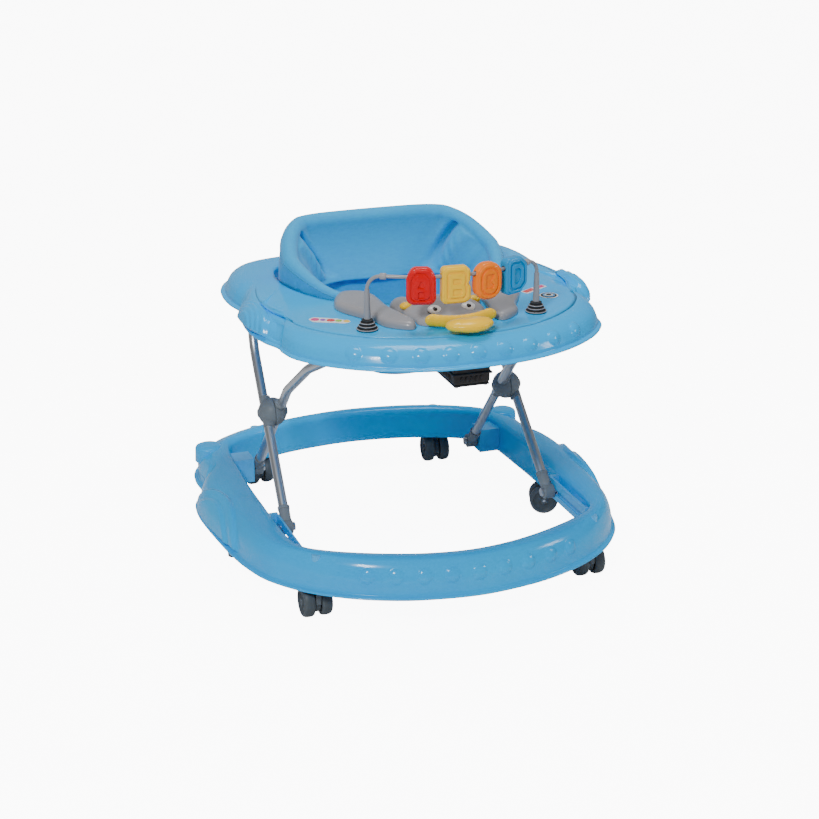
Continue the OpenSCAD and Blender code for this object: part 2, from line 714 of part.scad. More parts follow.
module toy_head() {
  color(toy_grey) translate([0, 0, tray_top]) difference() {
    union() {
      translate([0, -205, 0]) cylinder(r = 44, h = 22);
      translate([-60, -212, 0]) cube([120, 34, 16]);
      for (x = [-50, 50]) translate([x, -150, 0]) cylinder(r = 17, h = 18);
      translate([-44, -200, 0]) cube([88, 60, 18]);
    }
    translate([-60, -280, -1]) cube([120, 35, 30]);
  }
}

wing_outline = [
  [141, -99], [120, -63], [92, -68], [77, -94], [76, -159], [84, -200], [104, -214], [119, -185],
  [143, -135]];

module toy_wing() {
  color(toy_grey) translate([0, 0, tray_top]) linear_extrude(height = 13) polygon(wing_outline);
}

module toy_wing_right() { toy_wing(); }
module toy_wing_left() { mirror([1, 0, 0]) toy_wing(); }

module toy_eyes() {
  color("white") both_sides() translate([26, -221, head_z]) cylinder(r = 9, h = 3);
}

module beak_base() {
  color([0.96, 0.8, 0.25]) translate([0, 0, tray_top])
    difference() {
      translate([-52, -266, 0]) cube([104, 20.5, 14]);
      translate([-33, -267, 6]) cube([66, 23, 9]);
    }
}

beak_travel = 3;
// Sprung button that plays a tune
module beak_button() {
  color([0.96, 0.8, 0.25])
    translate([0, 0, tray_top + 6 + beak_travel + 0.5]) {
      translate([-32, -266, 0]) cube([64, 19, 12]);
      translate([-20, -285, 0]) cube([40, 20, 12]);
      for (x = [-20, 20]) translate([x, -273, 0]) cylinder(r = 12, h = 12);
    }
}

music_z = tray_lip_z + 3 - music_box[2] - 3;
module music_case() {
  w = music_box[0];
  d = music_box[1];
  t = 2;
  color(black) translate([-w / 2, music_front_y, music_z]) difference() {
    union() {
      translate([0, 0, 3]) cube([w, d, music_box[2] + 12]);
      for (x = [6, w - 6], y = [6, d - 6])
        translate([x, y, 3]) cylinder(r = 5, h = tray_under - music_z - 3 + fuse - 2);
    }
    translate([t, t, 2]) cube([w - 2 * t, d - 2 * t, music_box[2] + 11]);
    for (x = [6, w - 6], y = [6, d - 6]) translate([x, y, 0]) cylinder(r = 1.5, h = 14);
  }
}

module battery_door() {
  w = music_box[0];
  d = music_box[1];
  color(black) translate([-w / 2, music_front_y, music_z]) difference() {
    cube([w, d, 3]);
    for (x = [6, w - 6], y = [6, d - 6]) translate([x, y, -1]) cylinder(r = 1.6, h = 5);
  }
}

module case_screws() {
  w = music_box[0];
  d = music_box[1];
  color(steel) translate([-w / 2, music_front_y, music_z])
    for (x = [6, w - 6], y = [6, d - 6]) translate([x, y, 0]) {
      translate([0, 0, -1.5]) cylinder(r = 3, h = 1.5);
      cylinder(r = 1.45, h = 13);
    }
}

module batteries() {
  color([0.2, 0.5, 0.3])
    for (i = [0, 1]) translate([0, music_front_y + 22 + i * 16, music_z + 12]) {
      x_rod(-24, 24, 0, 0, 7);
      x_rod(24, 25.5, 0, 0, 2.5);
    }
}

module speaker() {
  color([0.25, 0.25, 0.27]) translate([0, music_front_y + 63, music_z + 7]) {
    cylinder(r = 14, h = 6);
    translate([0, 0, 6]) cylinder(r = 7, h = 6);
  }
}

module circuit_board() {
  color([0.1, 0.4, 0.2]) translate([-20, music_front_y + 16, music_z + 26]) cube([40, 56, 1.6]);
}

// ---------- named casters ----------

module front_left_housing() { caster_housing(caster_places[0]); }
module front_left_axle() { caster_axle(caster_places[0]); }
module front_left_wheels() { caster_wheels(caster_places[0]); }
module front_right_housing() { caster_housing(caster_places[1]); }
module front_right_axle() { caster_axle(caster_places[1]); }
module front_right_wheels() { caster_wheels(caster_places[1]); }
module side_left_housing() { caster_housing(caster_places[2]); }
module side_left_axle() { caster_axle(caster_places[2]); }
module side_left_wheels() { caster_wheels(caster_places[2]); }
module side_right_housing() { caster_housing(caster_places[3]); }
module side_right_axle() { caster_axle(caster_places[3]); }
module side_right_wheels() { caster_wheels(caster_places[3]); }
module rear_left_housing() { caster_housing(caster_places[4]); }
module rear_left_axle() { caster_axle(caster_places[4]); }
module rear_left_wheels() { caster_wheels(caster_places[4]); }
module rear_right_housing() { caster_housing(caster_places[5]); }
module rear_right_axle() { caster_axle(caster_places[5]); }
module rear_right_wheels() { caster_wheels(caster_places[5]); }

base_shell();
caster_sockets();
slide_rails();
rear_brackets();
rear_pivot_pins();
front_left_housing();
front_left_axle();
front_left_wheels();
front_right_housing();
front_right_axle();
front_right_wheels();
side_left_housing();
side_left_axle();
side_left_wheels();
side_right_housing();
side_right_axle();
side_right_wheels();
rear_left_housing();
rear_left_axle();
rear_left_wheels();
rear_right_housing();
rear_right_axle();
rear_right_wheels();
inner_frame_tube();
inner_hub_halves();
inner_foot_caps();
outer_tube_left();
outer_tube_right();
outer_hub_halves();
outer_foot_caps();
hub_rivets();
slide_bolts();
hanger_pins();
tray_shell();
tray_hangers();
bar_saddles();
seat_back();
seat_sling();
seat_hooks();
toy_bar();
bar_boots();
bar_collars();
letter_a();
letter_b();
letter_c();
letter_d();
toy_head();
toy_wing_left();
toy_wing_right();
toy_eyes();
beak_base();
beak_button();
music_case();
battery_door();
batteries();
speaker();
circuit_board();
case_screws();
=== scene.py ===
import math

import bmesh
import bpy
import numpy as np
from mathutils import Matrix, Vector


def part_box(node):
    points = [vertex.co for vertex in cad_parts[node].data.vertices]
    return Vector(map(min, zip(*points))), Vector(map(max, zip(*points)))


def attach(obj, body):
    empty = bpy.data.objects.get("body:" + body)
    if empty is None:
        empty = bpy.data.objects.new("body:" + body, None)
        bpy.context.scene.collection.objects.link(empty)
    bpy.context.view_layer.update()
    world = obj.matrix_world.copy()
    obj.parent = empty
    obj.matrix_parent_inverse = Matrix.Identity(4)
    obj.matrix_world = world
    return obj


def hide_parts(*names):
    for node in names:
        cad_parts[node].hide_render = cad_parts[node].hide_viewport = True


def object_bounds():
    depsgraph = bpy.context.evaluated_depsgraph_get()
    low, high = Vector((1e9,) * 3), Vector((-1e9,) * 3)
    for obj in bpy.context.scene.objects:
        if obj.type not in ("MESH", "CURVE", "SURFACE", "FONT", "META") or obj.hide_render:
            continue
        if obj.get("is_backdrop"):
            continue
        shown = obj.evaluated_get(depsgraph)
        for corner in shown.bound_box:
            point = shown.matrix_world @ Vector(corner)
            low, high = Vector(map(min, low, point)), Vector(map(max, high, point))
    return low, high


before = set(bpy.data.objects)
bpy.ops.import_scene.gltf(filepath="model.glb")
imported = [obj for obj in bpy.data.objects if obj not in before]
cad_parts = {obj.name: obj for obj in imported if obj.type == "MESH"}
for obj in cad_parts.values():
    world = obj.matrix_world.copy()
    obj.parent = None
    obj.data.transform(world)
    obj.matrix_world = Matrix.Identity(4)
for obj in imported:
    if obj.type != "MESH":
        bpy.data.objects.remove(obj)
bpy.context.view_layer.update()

# ---- Finishes ----
# Every moulded plastic shares one skin: faint flow mottling, fine orange peel and sharp convex edges made
# a little paler. Each material sets only its own colour, gloss and depth of texture.
skin = bpy.data.node_groups.new("moulded_skin", "ShaderNodeTree")
skin.interface.new_socket("Colour", in_out="INPUT", socket_type="NodeSocketColor")
skin.interface.new_socket("Roughness", in_out="INPUT", socket_type="NodeSocketFloat")
skin.interface.new_socket("Colour", in_out="OUTPUT", socket_type="NodeSocketColor")
skin.interface.new_socket("Roughness", in_out="OUTPUT", socket_type="NodeSocketFloat")
skin.interface.new_socket("Height", in_out="OUTPUT", socket_type="NodeSocketFloat")
n = skin.nodes
gin, gout = n.new("NodeGroupInput"), n.new("NodeGroupOutput")
coord, geo = n.new("ShaderNodeTexCoord"), n.new("ShaderNodeNewGeometry")
flow, peel = n.new("ShaderNodeTexNoise"), n.new("ShaderNodeTexNoise")
flow.inputs["Scale"].default_value = 9
flow.inputs["Detail"].default_value = 3
peel.inputs["Scale"].default_value = 420
peel.inputs["Detail"].default_value = 2
shade, edge, paler_edge, rough, gloss = (n.new("ShaderNodeMix"), n.new("ShaderNodeMapRange"), n.new("ShaderNodeMix"),
                                  n.new("ShaderNodeMapRange"), n.new("ShaderNodeMath"))
shade.data_type = paler_edge.data_type = "RGBA"
shade.blend_type, paler_edge.blend_type = "OVERLAY", "SCREEN"
shade.inputs[0].default_value = 0.12
# sharp convex edges (high pointiness) are screened a little paler
edge.inputs[1].default_value, edge.inputs[2].default_value = 0.52, 0.62
edge.inputs[3].default_value, edge.inputs[4].default_value = 0.0, 0.12
paler_edge.inputs[7].default_value = (0.5, 0.55, 0.6, 1)
rough.inputs[3].default_value, rough.inputs[4].default_value = 0.85, 1.2
gloss.operation = "MULTIPLY"
for a, b in ((coord.outputs["Object"], flow.inputs["Vector"]), (coord.outputs["Object"], peel.inputs["Vector"]),
             (gin.outputs["Colour"], shade.inputs[6]), (flow.outputs["Fac"], shade.inputs[7]),
             (geo.outputs["Pointiness"], edge.inputs[0]), (edge.outputs[0], paler_edge.inputs[0]),
             (shade.outputs[2], paler_edge.inputs[6]), (paler_edge.outputs[2], gout.inputs["Colour"]),
             (flow.outputs["Fac"], rough.inputs[0]), (rough.outputs[0], gloss.inputs[0]),
             (gin.outputs["Roughness"], gloss.inputs[1]), (gloss.outputs[0], gout.inputs["Roughness"]),
             (peel.outputs["Fac"], gout.inputs["Height"])):
    skin.links.new(a, b)


def plastic(name, colour, roughness, coat=0.0, peel_depth=0.03, metal=0.0):
    m = bpy.data.materials.new(name)
    m.use_nodes = True
    t = m.node_tree
    p = t.nodes["Principled BSDF"]
    g = t.nodes.new("ShaderNodeGroup")
    g.node_tree = skin
    g.inputs["Colour"].default_value = (*colour, 1)
    g.inputs["Roughness"].default_value = roughness
    b = t.nodes.new("ShaderNodeBump")
    b.inputs["Strength"].default_value = peel_depth
    b.inputs["Distance"].default_value = 0.001
    p.inputs["Coat Weight"].default_value = coat
    p.inputs["Coat Roughness"].default_value = 0.06
    p.inputs["Specular IOR Level"].default_value = 0.2 if metal == 0 else 0.5
    p.inputs["Metallic"].default_value = metal
    t.links.new(g.outputs["Colour"], p.inputs["Base Color"])
    t.links.new(g.outputs["Roughness"], p.inputs["Roughness"])
    t.links.new(g.outputs["Height"], b.inputs["Height"])
    t.links.new(b.outputs["Normal"], p.inputs["Normal"])
    m.diffuse_color = (*colour, 1)
    return m


blue = plastic("blue_plastic", (0.0, 0.45, 0.95), 0.16, coat=0.1, peel_depth=0.02)
hub_grey = plastic("hub_plastic", (0.17, 0.2, 0.225), 0.42, peel_depth=0.06)
wheel_grey = plastic("wheel_plastic", (0.075, 0.092, 0.105), 0.42, peel_depth=0.08)
toy_grey = plastic("toy_grey_plastic", (0.3, 0.3, 0.32), 0.3, coat=0.3)
red = plastic("red_plastic", (0.72, 0.0, 0.004), 0.22, coat=0.12)
yellow = plastic("yellow_plastic", (1.0, 0.6, 0.02), 0.25, coat=0.12)
orange = plastic("orange_plastic", (1.0, 0.22, 0.0), 0.25, coat=0.12)
letter_blue = plastic("letter_blue_plastic", (0.0, 0.30, 0.66), 0.25, coat=0.12)
black = plastic("black_plastic", (0.022, 0.018, 0.018), 0.4, peel_depth=0.08)
rubber = plastic("black_rubber", (0.02, 0.02, 0.022), 0.55, peel_depth=0.1)
white = plastic("white_plastic", (0.85, 0.86, 0.87), 0.3, coat=0.3)
green = plastic("board_green", (0.02, 0.17, 0.06), 0.35)
jacket = plastic("battery_jacket", (0.05, 0.25, 0.08), 0.3, coat=0.3)
steel = plastic("bright_steel", (0.62, 0.63, 0.65), 0.28, metal=1.0)

# Silver lacquer on the frame tubes: metallic flake under a thin clear coat.
silver = plastic("silver_tube", (0.5, 0.52, 0.545), 0.3, coat=0.35, peel_depth=0.02, metal=0.85)

for node, material in (
        ("caster_sockets", blue), ("slide_rails", blue), ("rear_brackets", blue), ("tray_hangers", blue),
        ("bar_saddles", blue), ("rear_pivot_pins", steel), ("hub_rivets", steel), ("slide_bolts", steel),
        ("hanger_pins", steel), ("case_screws", steel), ("seat_hooks", white), ("batteries", jacket),
        ("circuit_board", green), ("speaker", black)):
    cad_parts[node].data.materials.clear()
    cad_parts[node].data.materials.append(material)
for place in ("front_left", "front_right", "side_left", "side_right", "rear_left", "rear_right"):
    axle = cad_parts[place + "_axle"]
    axle.data.materials.clear()
    axle.data.materials.append(steel)

# ---- Base ring ----
# A wide moulded ring: thin lip outside, convex shoulder, rolled top edge and a straight inner
# wall. Wheel-arch reliefs stand on its sides, round caps at the back corners and nine buttons
# along the front rail.
base_outer = [
    (0, -1), (.238, -.975), (.419, -.927), (.594, -.848), (.75, -.736), (.875, -.584), (.934, -.435),
    (.966, -.281), (.984, -.124), (.997, .037), (1, .185), (.975, .323), (.909, .427), (.906, .581),
    (.872, .713), (.769, .843), (.588, .938), (.328, .983), (0, 1)]
base_inner = [
    (0, -.86), (.188, -.84), (.353, -.795), (.506, -.736), (.631, -.674), (.7125, -.612), (.747, -.5),
    (.753, -.295), (.753, -.126), (.753, .034), (.75, .174), (.744, .292), (.7375, .421), (.725, .551),
    (.69, .643), (.5875, .713), (.4375, .772), (.25, .815), (0, .837)]


def spline(points, ts, closed):
    p = np.array(points, float)
    k = len(p)
    out = []
    for t in ts:
        i, f = int(math.floor(t)), t - math.floor(t)
        ids = [(i + d) % k if closed else min(max(i + d, 0), k - 1) for d in (-1, 0, 1, 2)]
        a, b, c, d = p[ids]
        out.append(.5 * (2 * b + (c - a) * f + (2 * a - 5 * b + 4 * c - d) * f * f
                         + (3 * b - a - 3 * c + d) * f ** 3))
    return np.array(out)


def ring_curve(half, width, length, y, ts):
    pts = [(x * width / 2, y + v * length / 2) for x, v in half]
    return spline(pts + [(-x, v) for x, v in pts[-2:0:-1]], ts, True)


def faced_out(me, weld=0):
    """Turns every face outward, after welding points closer than weld."""
    bm = bmesh.new()
    bm.from_mesh(me)
    if weld:
        bmesh.ops.remove_doubles(bm, verts=bm.verts, dist=weld)
    bmesh.ops.recalc_face_normals(bm, faces=bm.faces)
    bm.to_mesh(me)
    bm.free()


def smoothed(ob):
    for f in ob.data.polygons:
        f.use_smooth = True
    return ob


def grid_mesh(name, rows, material, wrap_rows=True, wrap_cols=True):
    """A smooth mesh over a grid of points; rows run round the piece, columns across it."""
    rows = np.asarray(rows)
    r, c = rows.shape[:2]
    faces = [(i * c + j, i * c + (j + 1) % c, ((i + 1) % r) * c + (j + 1) % c, ((i + 1) % r) * c + j)
             for i in range(r if wrap_rows else r - 1) for j in range(c if wrap_cols else c - 1)]
    me = bpy.data.meshes.new(name)
    me.from_pydata(rows.reshape(-1, 3).tolist(), [], faces)
    me.materials.append(material)
    ob = bpy.data.objects.new(name, me)
    bpy.context.scene.collection.objects.link(ob)
    faced_out(me)
    return smoothed(ob)


def pushed(rows, amount):
    """The grid moved by amount along its own outward direction, smoothly."""
    du = np.roll(rows, -1, 0) - np.roll(rows, 1, 0)
    dv = np.roll(rows, -1, 1) - np.roll(rows, 1, 1)
    nv = np.cross(du, dv)
    nv /= np.linalg.norm(nv, axis=2, keepdims=True) + 1e-12
    return rows + nv * amount[..., None]


def smoothstep(a, b, x):
    t = np.clip((x - a) / (b - a), 0, 1)
    return t * t * (3 - 2 * t)


def stations(shape, size, shift, low, high):
    """Steps round the outline: fine along the front and where the side arches are, coarser elsewhere."""
    mid = ring_curve(shape, *size, shift, np.arange(36) + .5)
    ts = []
    for seg in range(36):
        k = 40 if seg < 3 or seg > 32 or (low < mid[seg, 1] < high and abs(mid[seg, 0]) > .15) else 12
        ts += [seg + j / k for j in range(k)]
    return ts


def moulding(name, outer, inner, across, relief, material):
    """Lofts across(width, y) round the ring, finer up its outside, then raises the relief on it."""
    w = np.linalg.norm(inner - outer, axis=1)
    u = (inner - outer) / w[:, None]
    rows = []
    for o, d, wide in zip(outer, u, w):
        prof = across(wide, o[1])
        ts = np.concatenate([np.arange(i, i + 1, 1 / (9 if 3 <= i < 9 else 2)) for i in range(len(prof))])
        pr = spline(prof, ts, True)
        rows.append([(o[0] + d[0] * a, o[1] + d[1] * a, z) for a, z in pr])
    rows = np.array(rows)
    step = np.linalg.norm(np.diff(np.vstack([outer, outer[:1]]), axis=0), axis=1)
    s = np.concatenate([[0], np.cumsum(step)[:-1]])
    climb = np.cumsum(np.linalg.norm(np.diff(rows, axis=1), axis=2), axis=1)
    climb = np.concatenate([np.zeros((len(rows), 1)), climb], axis=1)
    lift = relief(rows, s, step.sum(), climb)
    test = pushed(rows, np.full(rows.shape[:2], 1e-4))
    middle = len(rows) // 4
    crown = int(np.searchsorted(ts, 4))
    sign = 1 if test[middle, crown, 0] > rows[middle, crown, 0] else -1
    return grid_mesh(name, pushed(rows, lift * sign), material)


def buttons(rows, s, total, climb, spots, height):
    """Domed buttons with a crisp edge along the front, at spots along the outline and one height."""
    lift = np.zeros(climb.shape)
    for spot in spots:
        away = abs(s - spot % total)
        r = np.hypot(np.minimum(away, total - away)[:, None], climb - height)
        lift += .0012 * (1 - smoothstep(.0105, .0122, r)) + .0022 * np.clip(1 - (r / .0108) ** 2, 0, 1)
    return np.where(rows[..., 1] < -.2, lift, 0)


def base_across(w, y):
    fall = .016 * min(1, max(0, (y / .356 - .5) / .35))
    z, h, t = .049, .056, .003
    return [(0, z), (0, z + .0022), (.0025, z + .0036), (.0062, z + .0044), (.0082, z + .011),
            (.007 + .05 * w, z + .48 * h - .7 * fall), (.007 + .15 * w, z + .76 * h - .8 * fall),
            (.007 + .28 * w, z + .925 * h - .7 * fall), (.5 * w, z + h - .0012 - .45 * fall),
            (.62 * w, z + h - .0002 - .3 * fall), (w - .016, z + h),
            (w - .005, z + h - .0015), (w - .0005, z + h - .007), (w, z + h - .016), (w, z + .02), (w, z + .002),
            (w - t, z + .002), (w - t, z + .02), (w - t, z + h - .02), (w - .012, z + h - t - .001),
            (.6 * w, z + h - t - .35 * fall), (.007 + .28 * w + t, z + .9 * h - t - .7 * fall),
            (.0125 + .1 * w, z + .52 * h - .7 * fall), (.0115, z + .012), (.0085, z + .002), (.004, z)]


def base_relief(rows, s, total, climb):
    x, y = rows[..., 0], rows[..., 1]
    outside = smoothstep(.010, .016, climb) * (climb < .14)
    # wheel arches: concentric steps on each side
    reach = np.hypot(y + .004, climb * 1.55)
    arch = (.0068 * (1 - smoothstep(.098, .106, reach)) + .0045 * (1 - smoothstep(.074, .080, reach))
            + .0030 * (1 - smoothstep(.0, .074, reach)))
    lift = np.where(abs(x) > .2, arch, 0) * outside
    # shallow panel behind each arch
    lift += np.where((abs(x) > .2), .0035 * smoothstep(.150, .158, y) * (1 - smoothstep(.245, .255, y)), 0) \
        * outside * smoothstep(.02, .026, climb) * (1 - smoothstep(.05, .056, climb))
    return lift + buttons(rows, s, total, climb, [k * .0428 for k in range(-4, 5)], .038)


base_size = (.64, .712)
ts = stations(base_outer, base_size, 0, -.12, .12)
base = moulding("base_ring", ring_curve(base_outer, *base_size, 0, ts), ring_curve(base_inner, *base_size, 0, ts),
                base_across, base_relief, blue)
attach(base, "base")
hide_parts("base_shell")


def lathe(name, profile, material, segments=48):
    """A turned piece about Z from its (radius, height) profile, closed where it meets the axis."""
    me = bpy.data.meshes.new(name)
    bm = bmesh.new()
    vs = [bm.verts.new((r, 0, z)) for r, z in profile]
    es = [bm.edges.new((a, b)) for a, b in zip(vs, vs[1:])]
    bmesh.ops.spin(bm, geom=vs + es, axis=(0, 0, 1), cent=(0, 0, 0), angle=math.tau, steps=segments)
    bmesh.ops.remove_doubles(bm, verts=bm.verts, dist=1e-6)
    bmesh.ops.recalc_face_normals(bm, faces=bm.faces)
    bm.to_mesh(me)
    bm.free()
    me.materials.append(material)
    ob = bpy.data.objects.new(name, me)
    bpy.context.scene.collection.objects.link(ob)
    return smoothed(ob)


def only(ob):
    bpy.ops.object.select_all(action="DESELECT")
    ob.select_set(True)
    bpy.context.view_layer.objects.active = ob


def added(primitive, **how):
    """A new primitive with its place, turn and size applied."""
    bpy.ops.object.select_all(action="DESELECT")
    primitive(**how)
    ob = bpy.context.object
    only(ob)
    bpy.ops.object.transform_apply(location=True, rotation=True, scale=True)
    return ob


def bevelled(ob, width, angle):
    bevel = ob.modifiers.new("edges", "BEVEL")
    bevel.width, bevel.segments, bevel.limit_method, bevel.angle_limit = width, 2, "ANGLE", math.radians(angle)
    return ob


def joined(name, obs):
    bpy.ops.object.select_all(action="DESELECT")
    for o in obs:
        o.select_set(True)
    bpy.context.view_layer.objects.active = obs[0]
    bpy.ops.object.join()
    obs[0].name = name
    return obs[0]


def moved(ob, matrix):
    ob.data.transform(matrix)
    if matrix.determinant() < 0:
        ob.data.flip_normals()
    return ob


def crisp(ob, angle=35):
    only(ob)
    bpy.ops.object.shade_smooth_by_angle(angle=math.radians(angle))
    return ob


# Caps moulded over the rear corners of the ring, above the back casters.
for side in (-1, 1):
    cap = lathe(f"corner_cap_{'left' if side < 0 else 'right'}",
                [(0, .1065), (.012, .1065), (.0185, .106), (.0215, .1045), (.0228, .1015), (.0235, .08),
                 (.0225, .079), (0, .079)], blue)
    moved(cap, Matrix.Translation((side * .262, .222, 0)))
    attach(cap, "base")

# ---- Casters ----
# Six twin-wheel casters. Each has a web housing with a hooded top and a swivel stem, and two
# wheels with a rounded tread, a dished face and a raised hub.
wheel_profile = [
    (.0026, .005), (.0026, .0166), (.0042, .0168), (.0055, .0164), (.0062, .0150), (.0075, .0138), (.0150, .0134),
    (.0166, .0146), (.0176, .0160), (.0190, .0168), (.0205, .0166), (.0222, .0150), (.0232, .0125), (.0235, .0095),
    (.0235, .0060), (.0231, .0030), (.0220, .0008), (.0205, .0), (.0180, .0004), (.0165, .002), (.0070, .002),
                 (.0060, .0), (.0026, 0), (.0026, .005)]
places = (("front_left", -.219, -.252, 180), ("front_right", .219, -.252, 180), ("side_left", -.265, .012, -12),
          ("side_right", .265, .012, -109), ("rear_left", -.162, .301, 6), ("rear_right", .162, .301, -4))
trail, wheel_r = .012, .0235
for place, x, y, swivel in places:
    stand = Matrix.Translation((x, y, 0)) @ Matrix.Rotation(math.radians(swivel), 4, "Z")
    pair = []
    for side in (-1, 1):
        w = lathe("wheel", wheel_profile, wheel_grey, 64)
        pair.append(moved(w, Matrix.Translation((side * .005, 0, 0)) @ Matrix.Rotation(side * math.pi / 2, 4, "Y")))
    wheels = moved(joined(place + "_wheel_pair", pair), stand @ Matrix.Translation((0, -trail, wheel_r)))
    crisp(wheels, 40)
    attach(wheels, place + "_wheelset")
    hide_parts(place + "_wheels")

    disc = added(bpy.ops.mesh.primitive_cylinder_add, vertices=64, radius=.017, depth=.008,
                 location=(0, -trail, wheel_r), rotation=(0, math.pi / 2, 0))
    block = added(bpy.ops.mesh.primitive_cube_add, size=1, location=(0, -.004, .036), scale=(.008, .024, .024))
    neck = lathe("neck", [(0, .0465), (.0072, .0465), (.0078, .0472), (.0078, .0496), (.0072, .05), (.0041, .05),
                          (.0040, .084), (.0034, .086), (0, .086)], wheel_grey, 40)
    for o in (disc, block):
        o.data.materials.append(wheel_grey)
    body = moved(joined(place + "_fork", [disc, block, neck]), stand)
    crisp(bevelled(body, .0008, 40))
    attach(body, place + "_caster")
    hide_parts(place + "_housing")

# ---- Frame ----
# Bent silver tubes crossing at ball hubs: one long tube from the back feet over the hubs and
# across under the tray, and one on each side from the front feet up to the tray's back corners.
rear_foot, front_foot = Vector((.190, .186, .070)), Vector((.217, -.087, .078))
inner_hub, outer_hub = Vector((.189, .051, .216)), Vector((.207, .051, .216))


def flip(path):
    return [Vector((-p.x, p.y, p.z)) for p in path]


def bent(path, radii):
    """The path with round corners, as a list of points."""
    out = [path[0]]
    for i in range(1, len(path) - 1):
        a, b = (path[i] - path[i - 1]).normalized(), (path[i + 1] - path[i]).normalized()
        angle = a.angle(b)
        across = (b - a * a.dot(b)).normalized()
        start = path[i] - a * radii[i] * math.tan(angle / 2)
        centre = start + across * radii[i]
        k = max(4, int(math.degrees(angle) / 3))
        out += [centre - across * radii[i] * math.cos(angle * j / k) + a * radii[i] * math.sin(angle * j / k)
                for j in range(k + 1)]
    return out + [path[-1]]


def tube(name, points, radius, material, sides=16, caps=True):
    """A round tube along the points, made as a bevelled curve and turned into a mesh."""
    cu = bpy.data.curves.new(name, "CURVE")
    cu.dimensions = "3D"
    cu.bevel_depth, cu.bevel_resolution, cu.use_fill_caps = radius, sides, caps
    sp = cu.splines.new("POLY")
    sp.points.add(len(points) - 1)
    for q, p in zip(sp.points, points):
        q.co = (*p, 1)
    ob = bpy.data.objects.new(name, cu)
    bpy.context.scene.collection.objects.link(ob)
    only(ob)
    bpy.ops.object.convert(target="MESH")
    ob = bpy.context.object
    ob.data.materials.clear()
    ob.data.materials.append(material)
    return crisp(ob, 50)


up = (inner_hub - rear_foot).normalized()
half = [rear_foot + .012 * up, Vector((.186, .004, .266)), Vector((.175, -.075, .325)), Vector((.147, -.150, .368))]
loop = flip(half) + half[::-1]
inner = tube("inner_tube", bent(loop, [0, .06, .06, .032, .032, .06, .06, 0]), .0075, silver)
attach(inner, "inner_frame")
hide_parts("inner_frame_tube")

rise = (outer_hub - front_foot).normalized()
side_path = bent([front_foot + .012 * rise, Vector((.203, .144, .310)), Vector((.201, .146, .3895))], [0, .09, 0])
for side, path in (("right", side_path), ("left", flip(side_path))):
    leg = tube(f"outer_leg_{side}", path, .0075, silver)
    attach(leg, "outer_frame")
    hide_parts("outer_tube_" + side)

# Ball hubs: two domed halves with a parting groove, a raised collar and a domed rivet cap.
half_ball = [(0, .0225), (.004, .0224), (.0044, .0232), (.0062, .0234), (.0072, .0222), (.0078, .0214)] + \
            [(.023 * math.sin(a), .023 * math.cos(a)) for a in np.linspace(.38, 1.48, 16)] + \
            [(.0229, .0012), (.0222, .0004), (.0215, .00025), (0, .00025)]
for body_name, node, sign in (("inner_frame", "inner_hub_halves", -1), ("outer_frame", "outer_hub_halves", 1)):
    halves = []
    for side in (-1, 1):
        h = lathe("hub", half_ball, hub_grey, 64)
        halves.append(moved(h, Matrix.Translation((side * .198, .051, .216))
                            @ Matrix.Rotation(side * sign * math.pi / 2, 4, "Y")))
        # sleeve where each tube leaves its hub half
        along = (inner_hub - rear_foot if sign < 0 else outer_hub - front_foot).normalized()
        centre = inner_hub if sign < 0 else outer_hub
        path = [centre - along * .0262, centre - along * .0255, centre + along * .0255, centre + along * .0262]
        halves.append(tube("sleeve", path if side > 0 else flip(path), .0092, hub_grey))
    hubs = joined(node.replace("halves", "pair"), halves)
    crisp(hubs, 40)
    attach(hubs, body_name)
    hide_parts(node)

# Moulded feet: an eye for the pin and a sleeve over the tube's end, with a ribbed collar.
for body_name, node, foot, toward in (("inner_frame", "inner_foot_caps", rear_foot, inner_hub),
                                      ("outer_frame", "outer_foot_caps", front_foot, outer_hub)):
    caps = []
    d = (toward - foot).normalized()
    for side in (-1, 1):
        eye = lathe("eye", [(.0041, -.0085), (.0102, -.0085), (.0113, -.0076), (.0115, -.006), (.0115, .006),
                            (.0113, .0076),
                            (.0102, .0085), (.0041, .0085), (.0041, -.0085)], hub_grey)
        caps.append(moved(eye, Matrix.Translation((side * foot.x, foot.y, foot.z))
                          @ Matrix.Rotation(math.pi / 2, 4, "Y")))
        for a, b, r in ((.004, .034, .0087), (.0285, .034, .0094)):
            path = [foot + d * a, foot + d * b]
            caps.append(tube("cap", path if side > 0 else flip(path), r, hub_grey))
    feet = crisp(bevelled(joined(node.replace("caps", "ends"), caps), .0006, 50), 40)
    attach(feet, body_name)
    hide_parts(node)

# ---- Tray ----
# A moulded deck around the seat opening: thin lip, deep rounded skirt, flat top and a rolled
# edge at the opening. Concentric arches stand on both sides, a raised fold turns into each
# front corner and nine buttons run along the front skirt.
tray_outer = [
    (0, -1), (.281, -.976), (.536, -.889), (.749, -.749), (.884, -.589), (.921, -.463), (.925, -.387),
    (.966, -.289), (.996, -.15), (1, -.01), (.981, .129), (.948, .268), (.97, .408), (.97, .561),
    (.936, .721), (.846, .861), (.644, .944), (.345, .99), (0, 1)]
tray_inner = [
    (0, -.226), (.169, -.216), (.318, -.167), (.442, -.087), (.543, .017), (.599, .111), (.633, .199),
    (.652, .268), (.663, .338), (.667, .408), (.667, .477), (.659, .54), (.644, .589), (.614, .638),
    (.562, .679), (.479, .714), (.367, .739), (.187, .749), (0, .753)]


